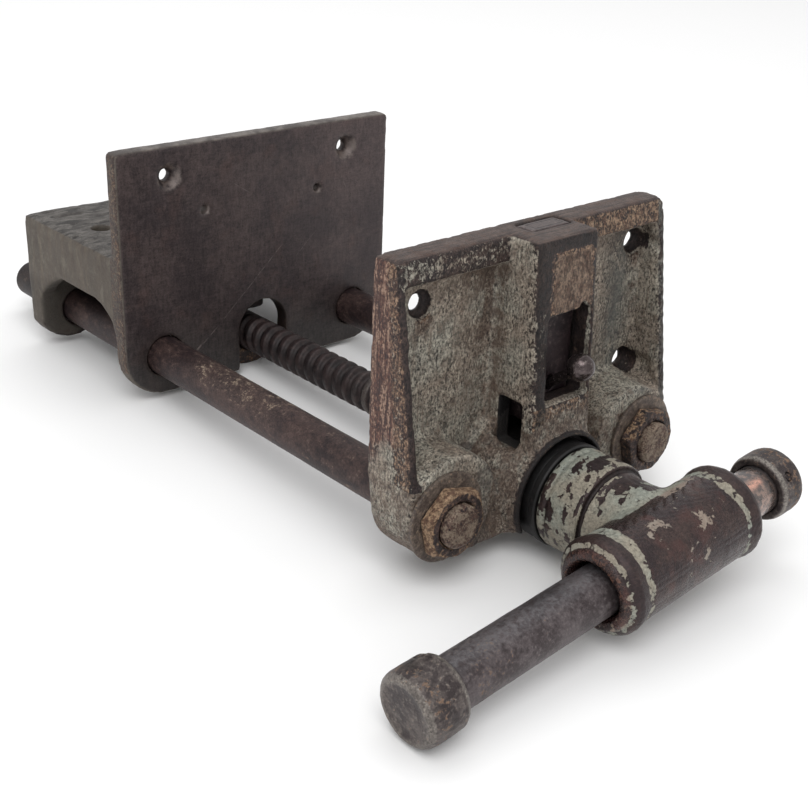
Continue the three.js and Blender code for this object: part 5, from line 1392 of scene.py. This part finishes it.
for s, name in ((-1, "left"), (1, "right")):
    X = s * ROD_X
    o = (X, 0, ROD_Z)
    sh = turned([(0, -231.3), (8.4, -231.2, 0.6), (10.0, -229.8, 0.5), (10.0, -189.4), (10.6, -189.4, 0.15), (10.6, 153.4, 0.6), (9.0, 155, 0.5), (0, 155)],
                o, BACK, np.array([0.0, 0, 1]), seg=84, r=0.1, step=1.9)
    p, n = sh.p, sh.n
    d = 0.06 * fbm(p, 14.0, 3, 401 + s) - 0.10 * np.clip(fbm(p, 4.5, 2, 405 + s) - 0.3, 0, 1)
    tip = smooth(-230.4, -231.0, p[:, 1])
    d += tip * (0.35 * fbm(p, 3.6, 3, 409) - 0.15)
    sh.p = p + n * d[:, None]
    a = flat_attr(sh, rw=0.08)
    rz = (p[:, 2] - ROD_Z) / 10.6
    patch = band(p[:, 1], -112, -34, 12) * smooth(-0.1, 0.7, rz)
    put(a, "rw", patch, 0.38 if s < 0 else 0.3)
    put(a, "lt", patch, 0.36)
    put(a, "dk", band(p[:, 1], -189, -128, 10), 0.16)
    put(a, "rw", band(p[:, 1], -189, -120, 20) * (1 - patch), 0.2)
    # darker under the flange and much darker on the rear stub: painted shade, with some rust on the stub
    put(a, "dk", smooth(8, 14, p[:, 1]) * (1 - smooth(96, 104, p[:, 1])), 0.15)
    put(a, "dk", smooth(104, 112, p[:, 1]), 0.8)
    put(a, "rw", smooth(104, 112, p[:, 1]), 0.22)
    put(a, "rw", (p[:, 1] < -226) * 1.0, 0.7)
    a["tip"] = (p[:, 1] < -226) * 1.0
    build("rod_" + name, sh, "sliding_jaw", ["guide_rod_" + name], mat_rod)
    # washer, a little wavy
    sh = turned([(11.1, -219.35), (20.8, -219.35), (20.8, -221.2), (11.1, -221.2)], (X, 0, ROD_Z + 0.7), BACK,
                np.array([0.0, 0, 1]), seg=96, r=0.45, step=1.0, closed=True)
    p, n = sh.p, sh.n
    front = smooth(0.2, 0.8, -n[:, 1])
    sh.p = p + n * (0.1 * fbm(p, 6.0, 3, 421 + s) - 0.1 - 0.35 * smooth(0.6, 1, -fbm(p, 8.0, 2, 431)) * front)[:, None] * 0.8
    a = flat_attr(sh, rw=0.3)
    put(a, "dk", smooth(0.5, 0.95, np.hypot(n[:, 0], n[:, 2])), 0.25)
    build("washer_" + name, sh, "sliding_jaw", ["rod_washer_" + name], mat_washer)
    # nut, its corners rounded by use
    sh = cast("rod_nut_" + name, 0.42, 0.42, None, ss=3)
    p, n = sh.p, sh.n
    r = off_axis(p, X, ROD_Z)
    bore = r < 11.0
    d = 0.16 * fbm(p, 4.0, 3, 441 + s) - 0.2 * np.clip(fbm(p, 2.4, 2, 447 + s) - 0.2, 0, 1)
    sh.p = p + n * (d * np.where(bore, 0, 1))[:, None]
    a = flat_attr(sh, rw=0.35)
    front = smooth(0.6, 0.95, -n[:, 1])
    oc = np.full(len(p), 0.86 if s < 0 else 0.5)
    oc = oc * (1 - 0.72 * front * (1 - smooth(13.6, 15.2, r)))
    # less of the pale ochre on faces turned down: painted shade
    oc *= 1 - 0.5 * (n[:, 2] < -0.4)
    a["ochre"] = oc
    # the bore is darkened: painted shade
    put(a, "dk", bore * 1.0, 0.6)
    put(a, "dk", np.full(len(p), 1.0), 0.0 if s < 0 else 0.16)
    if s > 0:
        # the facets turned down and to the left are darkened, with no ochre: painted shade
        low = smooth(0.3, 0.8, -(n[:, 0] * 0.8 + n[:, 2] * 0.6))
        put(a, "dk", low, 0.62)
        a["ochre"] = a["ochre"] * (1 - low)
        ridge = 1 - np.abs(fbm(p @ np.array([[1, 0, 0.6], [0, 1, 0], [-0.3, 0, 0.5]]), 3.0, 3, 451))
        sh.p = sh.p + n * (np.where(bore, 0, 1) * front * 0.9 * (ridge - 0.8))[:, None]
    mat = steel("nut_rust_" + name, dark=C(50, 40, 39), mid_c=C(82, 66, 61), light=C(116, 98, 86), rust=C(78, 52, 40), rust2=C(120, 94, 72),
                metal=0.25, rough=(0.5, 0.75), blot=6.0, mott=2.4, grain=0.52, pitshare=0.5, seed=9.0 + s, extra=nut_extra, relief=2.8, salt=0.5)
    build("nut_" + name, sh, "sliding_jaw", ["rod_nut_" + name], mat)


# ------------------------------------------- screw, thrust rings and collar
def helix():
    root, top = 8.2, 10.3
    prof = [(0.0, root), (0.06, root), (0.12, root + 0.25), (0.20, 0.5 * (root + top)), (0.275, top - 0.22), (0.32, top - 0.03), (0.38, top),
            (0.46, top), (0.54, top), (0.60, top - 0.03), (0.645, top - 0.22), (0.72, 0.5 * (root + top)), (0.80, root + 0.25),
            (0.86, root), (0.93, root)]
    K, S = len(prof), 56
    turns = 37
    n = turns * S + 1
    i = np.arange(n)
    ang = -i / S * 2 * math.pi
    fade = np.minimum(1, np.minimum(i / (S * 0.5), (n - 1 - i) / (S * 0.5)))
    fade = fade * fade * (3 - 2 * fade)
    pr = np.array(prof)
    r = root + (pr[None, :, 1] - root) * fade[:, None]
    y = -180 + (i[:, None] / S + pr[None, :, 0]) * 8
    v = np.stack([r * np.cos(ang)[:, None], y, SCREW_Z + r * np.sin(ang)[:, None]], -1).reshape(-1, 3)
    crest = np.clip((r - root) / (top - root), 0, 1).reshape(-1)
    f = []
    idx = (np.arange(n)[:, None] * K + np.arange(K)[None, :])
    for j in range(K):
        a = idx[:-1, j]
        b = idx[1:, j]
        if j < K - 1:
            c, e = idx[1:, j + 1], idx[:-1, j + 1]
            f.append(np.stack([a, b, c, e], 1))
        else:
            ok = np.arange(n - 1) + S + 1 < n
            c, e = idx[np.minimum(np.arange(n - 1) + S + 1, n - 1), 0], idx[np.minimum(np.arange(n - 1) + S, n - 1), 0]
            f.append(np.stack([a, b, c, e], 1)[ok])
    f = np.concatenate(f)
    sh = Shape(v, f)
    sh.n = normals(v, f)
    if (sh.n[:, 0] * np.cos(np.repeat(ang, K)) + sh.n[:, 2] * np.sin(np.repeat(ang, K))).mean() < 0:
        sh.quads = f[:, ::-1]
        sh.n = -sh.n
    sh.attr["crest"] = crest
    # worn, nicked thread
    d = 0.05 * fbm(v, 7.0, 2, 501) - 0.22 * np.clip(fbm(v, 2.4, 2, 505) - 0.25, 0, 1) * crest
    sh.p = v + sh.n * d[:, None]
    return sh


thread = helix()
O = (0, 0, SCREW_Z)
UPZ = np.array([0.0, 0, 1])
core = turned([(0, -181.2), (8.26, -181.2), (8.26, -171.0), (8.15, -170.5), (8.15, 109.0), (8.3, 111.0), (8.3, 119.6, 0.5), (7.8, 120.2), (7.8, 124.6, 0.4),
               (6.3, 126.0, 0.3), (0, 126.0)], O, BACK, UPZ, seg=72, r=0.15, step=2.2)
journal = turned([(0, -263.8), (9.0, -263.8), (9.9, -262.8), (9.9, -179.6, 0.5), (0, -179.4)], O, BACK, UPZ, seg=72, r=0.2, step=2.2)
for s_ in (core, journal):
    s_.attr["crest"] = np.full(len(s_.p), 0.0)
sh = join(thread, core, journal)
p = sh.p
a = flat_attr(sh, rw=0.1)
cr = sh.attr["crest"]
# bright lines along the thread crests near the front jaw: painted highlight
near = 1 - smooth(-168, -84, p[:, 1])
put(a, "lt", smooth(0.8, 1.0, cr) * near, 1.0)
lip_ = np.exp(-((cr - 0.86) / 0.1) ** 2) * near
put(a, "lt", np.clip(lip_, 0, 1), 1.0)
put(a, "dk", (1 - near) * 0.34, 1.0)
# the thread roots, the core and the journal are darkened: painted shade
put(a, "dk", 1 - smooth(0.05, 0.85, cr), 0.72)
# darker behind the rear plate: painted shade, with rust
put(a, "dk", (p[:, 1] > 0) * 1.0, 0.3)
put(a, "rw", (p[:, 1] > 0) * 1.0, 0.25)
mat_screw = steel("screw_steel", dark=C(40, 31, 32), mid_c=C(62, 48, 47), light=C(205, 199, 188), rust=C(70, 50, 44), rust2=C(84, 64, 54),
                  metal=0.4, rough=(0.4, 0.6), blot=8.0, mott=2.4, grain=0.24, pitshare=0.2, seed=11.0, salt=0.06, spots=0.03)
build("screw", sh, "screw", ["main_screw"], mat_screw)

# dark oily steel, darkened to near black as painted shade in the gap round the screw
mat_oily_shaded = steel("oily_steel_shaded_black", dark=C(20, 18, 19), mid_c=C(32, 28, 29), light=C(52, 47, 46), rust=C(70, 50, 42), rust2=C(86, 66, 54),
                 metal=0.2, rough=(0.42, 0.6), blot=7.0, mott=2.2, grain=0.18, pitshare=0.2, seed=12.0)


def ring(name, pts, nodes, slot, mat, body, r=0.35, **kw):
    sh = turned(pts, O, BACK, UPZ, seg=96, r=r, step=1.2, closed=True)
    sh.p = sh.p + sh.n * (0.05 * fbm(sh.p, 6.0, 2, 521))[:, None] * kw.get("wob", 1.0)
    flat_attr(sh, **kw)
    return build(name, sh, body, nodes, mat)


# bush and thrust ring nearly black: painted shade in the gap, on dark oily steel
ring("bush", [(11.3, -222.3), (24.0, -222.3), (24.0, -230.2), (22.6, -230.2), (22.2, -229.9), (14.0, -229.9), (13.6, -230.2), (11.3, -230.2)],
     ["thrust_bush"], "screw_steel", mat_oily_shaded, "sliding_jaw", rw=0.1, dk=0.9, wob=0.6)
ring("thrust_ring", [(10.3, -230.5), (24.6, -230.5), (24.6, -233.4), (24.0, -234.2), (10.3, -234.2)], ["thrust_washer"], "screw_steel",
     mat_oily_shaded, "screw", rw=0.1, dk=0.85, wob=0.6)
sh = cast("retaining_collar", 0.5, 0.36, None)
sh.p = sh.p + sh.n * (0.07 * fbm(sh.p, 5.0, 2, 531) * (off_axis(sh.p, 0, SCREW_Z) > 11.5))[:, None]
flat_attr(sh, rw=0.25, dk=0.15)
build("collar_ring", sh, "screw", ["retaining_collar"], mat_pin)
sh = turned([(0, 5.0), (1.1, 5.0, 0.05), (1.1, 5.9, 0.1), (1.6, 5.9), (1.9, 5.5), (1.9, -1.2), (1.4, -1.7), (0, -1.7)],
            (0, -185.6, SCREW_Z + 8.4), UPZ, BACK, seg=24, r=0.12, step=0.6)
flat_attr(sh, rw=0.25, dk=0.1)
build("collar_screw", sh, "screw", ["collar_set_screw"], mat_pin)


# ----------------------------------------------- half nut, pivot and spring
def half_thread(c, f):
    """Thread grooves cut outwards in the half nut's bore."""
    r = off_axis(c, 0, SCREW_Z)
    ang = np.arctan2(c[:, 2] - SCREW_Z, c[:, 0])
    ph = ((c[:, 1] + 180) / 8 + ang / (2 * math.pi) - 0.46) % 1.0
    tri = np.abs(ph - 0.5) * 2                                 # 1 in the groove for the screw's crest
    depth = 10.8 + 1.7 * smooth(0.35, 0.75, tri)
    cut = smooth(-0.45, 0.45, depth - r) * (c[:, 1] > 13.5) * (c[:, 1] < 59.5)
    return np.minimum(f, 1 - cut)


sh = cast("half_nut", 0.72, 0.5, 1.8, lambda p: np.maximum(1 - smooth(12.5, 14, off_axis(p, 0, SCREW_Z)), 1 - smooth(6.2, 7.4, off_axis(p, -33, -108))),
          carve=half_thread)
p, n = sh.p, sh.n
quiet = smooth(12.6, 13.8, off_axis(p, 0, SCREW_Z)) * smooth(5.6, 7.0, off_axis(p, -33, -108))
quiet *= 1 - ((p[:, 2] > -105) & (p[:, 0] < -35))
sh.p = p + n * ((0.14 * fbm(p, 8.0, 3, 541) - 0.08) * quiet)[:, None]
a = flat_attr(sh, rw=0.4, dk=0.15)
# the bore is darkened: painted shade
put(a, "dk", 1 - smooth(11.5, 13.5, off_axis(p, 0, SCREW_Z)), 0.4)
mat_half = steel("half_nut_iron", dark=C(58, 48, 46), mid_c=C(80, 66, 60), light=C(104, 90, 80), rust=C(96, 68, 50), rust2=C(122, 94, 70),
                 metal=0.35, rough=(0.45, 0.7), blot=8.0, mott=2.6, grain=0.2, pitshare=0.3, seed=13.0, relief=1.6)
build("split_nut", sh, "nut", ["half_nut"], mat_half)
sh = turned([(0, 14.4), (3.9, 14.4), (4.7, 15.2), (4.7, 70.3, 0.1), (7.2, 70.3, 0.5), (7.2, 72.6, 0.8), (5.4, 73.5, 0.6), (0, 73.5)], (-33, 0, -108), BACK, UPZ, seg=48,
            r=0.2, step=1.6)
flat_attr(sh, rw=0.3, dk=0.1)
build("pivot_pin", sh, "fixed_jaw", ["nut_pivot_pin"], mat_pin)
turns = 6
k = np.linspace(0, 1, turns * 40 + 1)
rise = np.interp(k, [0, 0.13, 0.2, 0.8, 0.87, 1], [0, 0.066, 0.115, 0.885, 0.934, 1.0])
coil = np.stack([-45.5 + 4.6 * np.cos(k * turns * 2 * math.pi), 41 + 4.6 * np.sin(k * turns * 2 * math.pi), -102.2 + 33.4 * rise], 1)
sh = tube(coil, 0.95, 14)
flat_attr(sh, rw=0.25)
sp = build("lift_spring", sh, "fixed_jaw", ["nut_lift_spring"], mat_pin)
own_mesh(sp)
sh = turned([(0, -63.3), (2.4, -63.3), (2.8, -63.8), (2.8, -84.6), (2.0, -85.3), (0, -85.3)], (-45.5, 41, 0), UPZ, BACK, seg=28, r=0.3, step=1.0)
flat_attr(sh, rw=0.3)
build("spring_pin", sh, "fixed_jaw", ["spring_guide_pin"], mat_pin)

# --------------------------------------------------------- dog and its knob
sh = cast("bench_dog", 0.6, 0.5, None)
p, n = sh.p, sh.n
d = 0.05 * fbm(p, 7.0, 2, 551) - smooth(0.3, 0.9, sh.attr["edge"]) * np.clip(fbm(p, 4.0, 2, 555), 0, 1) * 0.35
sh.p = p + n * (d - 0.02)[:, None]
a = flat_attr(sh, rw=0.02)
put(a, "rw", smooth(0.6, 0.9, n[:, 2]) * (p[:, 2] > -3), 0.1)
put(a, "lt", smooth(0.6, 0.9, n[:, 2]) * (p[:, 2] > -3), 0.5)
# the lower part, down in the slot, is darkened: painted shade
put(a, "dk", (p[:, 2] < -31) * 1.0, 0.35)
a["dtop"] = smooth(0.6, 0.9, n[:, 2]) * (p[:, 2] > -3)
mat_dog = steel("dog_steel", extra=dog_extra, dark=C(44, 34, 37), mid_c=C(64, 51, 53), light=C(112, 100, 96), rust=C(78, 56, 48), rust2=C(96, 74, 60),
                metal=0.5, rough=(0.36, 0.55), blot=10.0, mott=2.6, grain=0.15, pitshare=0.15, seed=14.0, tool=(1.4, (0.08, 1.0, 1.0), 0.35, 0.02))
build("dog", sh, "dog", ["bench_dog"], mat_dog)
sh = cast("dog_knob", 0.36, 0.3, 1.1, shade=3.0)
sh.p = sh.p + sh.n * (0.7 * smooth(-220.5, -224.5, sh.p[:, 1]))[:, None]
flat_attr(sh, rw=0.0, lt=0.2)
sh.attr["shade"] *= 0
mat_knob = steel("knob_steel", dark=C(54, 45, 46), mid_c=C(84, 74, 74), light=C(120, 112, 109), rust=C(60, 44, 38), rust2=C(88, 68, 58),
                 metal=0.85, rough=(0.18, 0.34), blot=5.0, mott=2.2, grain=0.1, pitshare=0.08, seed=15.0, relief=0.25, rust_bias=0.02, salt=0.05)
build("knob", sh, "dog", ["dog_knob"], mat_knob)
sh = cast("dog_leaf_spring", 0.26, 0.16, None, shade=2.0)
flat_attr(sh, rw=0.1, dk=0.1)
build("leaf_spring", sh, "sliding_jaw", ["dog_leaf_spring"], mat_pin)


# ------------------------------------------------------- floor, light, camera
def stage():
    me = bpy.data.meshes.new("floor")
    # just under the feet of the rear jaw, the low end of the handle and the rods of the closed vise
    k = 2.0
    s = math.tan(math.radians(k))
    z0 = -137.2
    pts = []
    for fx, fy in ((-1, -1), (1, -1), (1, 1), (-1, 1)):
        X, Y = fx * 4000.0, fy * 4000.0 - 100
        pts.append(((X) * 0.001, (Y - 58) * 0.001, (z0 + 56 + s * (Y - 5)) * 0.001))
    me.from_pydata(pts, [], [(0, 1, 2, 3)])
    o = bpy.data.objects.new("floor", me)
    bpy.context.scene.collection.objects.link(o)
    m = bpy.data.materials.new("floor")
    m.use_nodes = True
    b = m.node_tree.nodes["Principled BSDF"]
    b.inputs["Base Color"].default_value = (0.94, 0.94, 0.94, 1)
    b.inputs["Roughness"].default_value = 0.8
    me.materials.append(m)

    w = bpy.data.worlds.new("studio")
    bpy.context.scene.world = w
    w.use_nodes = True
    w.node_tree.nodes["Background"].inputs[0].default_value = (1.0, 1.0, 1.0, 1)
    w.node_tree.nodes["Background"].inputs[1].default_value = 0.82

    def area(name, loc, aim, size, power):
        li = bpy.data.lights.new(name, "AREA")
        li.shape, li.size, li.energy = "DISK", size, power
        lo = bpy.data.objects.new(name, li)
        bpy.context.scene.collection.objects.link(lo)
        lo.location = loc
        lo.rotation_mode = "QUATERNION"
        lo.rotation_quaternion = (Vector(aim) - Vector(loc)).to_track_quat("-Z", "Y")

    area("key", (-0.9, -1.1, 1.9), (0, -0.1, 0), 1.6, 20)
    area("top", (0.5, 0.6, 2.2), (0, -0.1, 0), 1.8, 9)

    cam = bpy.data.cameras.new("camera")
    co = bpy.data.objects.new("camera", cam)
    bpy.context.scene.collection.objects.link(co)
    right = Vector((0.7479320763, -0.6627528541, 0.0368274849))
    up = Vector((0.2556810035, 0.3388544620, 0.9054307693))
    back = -Vector((0.6125559841, 0.6677846269, -0.4228934362))
    r = Matrix((right, up, back)).transposed()
    co.rotation_mode = "QUATERNION"
    co.rotation_quaternion = r.to_quaternion()
    co.location = tuple((np.array([-399.165, -555.878, 160.935]) + SHIFT) * 0.001)
    cam.sensor_width = 36.0
    cam.lens = 1283.8143 / 808 * 36.0
    cam.clip_start, cam.clip_end = 0.05, 30
    bpy.context.scene.camera = co
    bpy.context.scene.view_settings.view_transform = "Standard"
    bpy.context.scene.view_settings.look = "None"


stage()
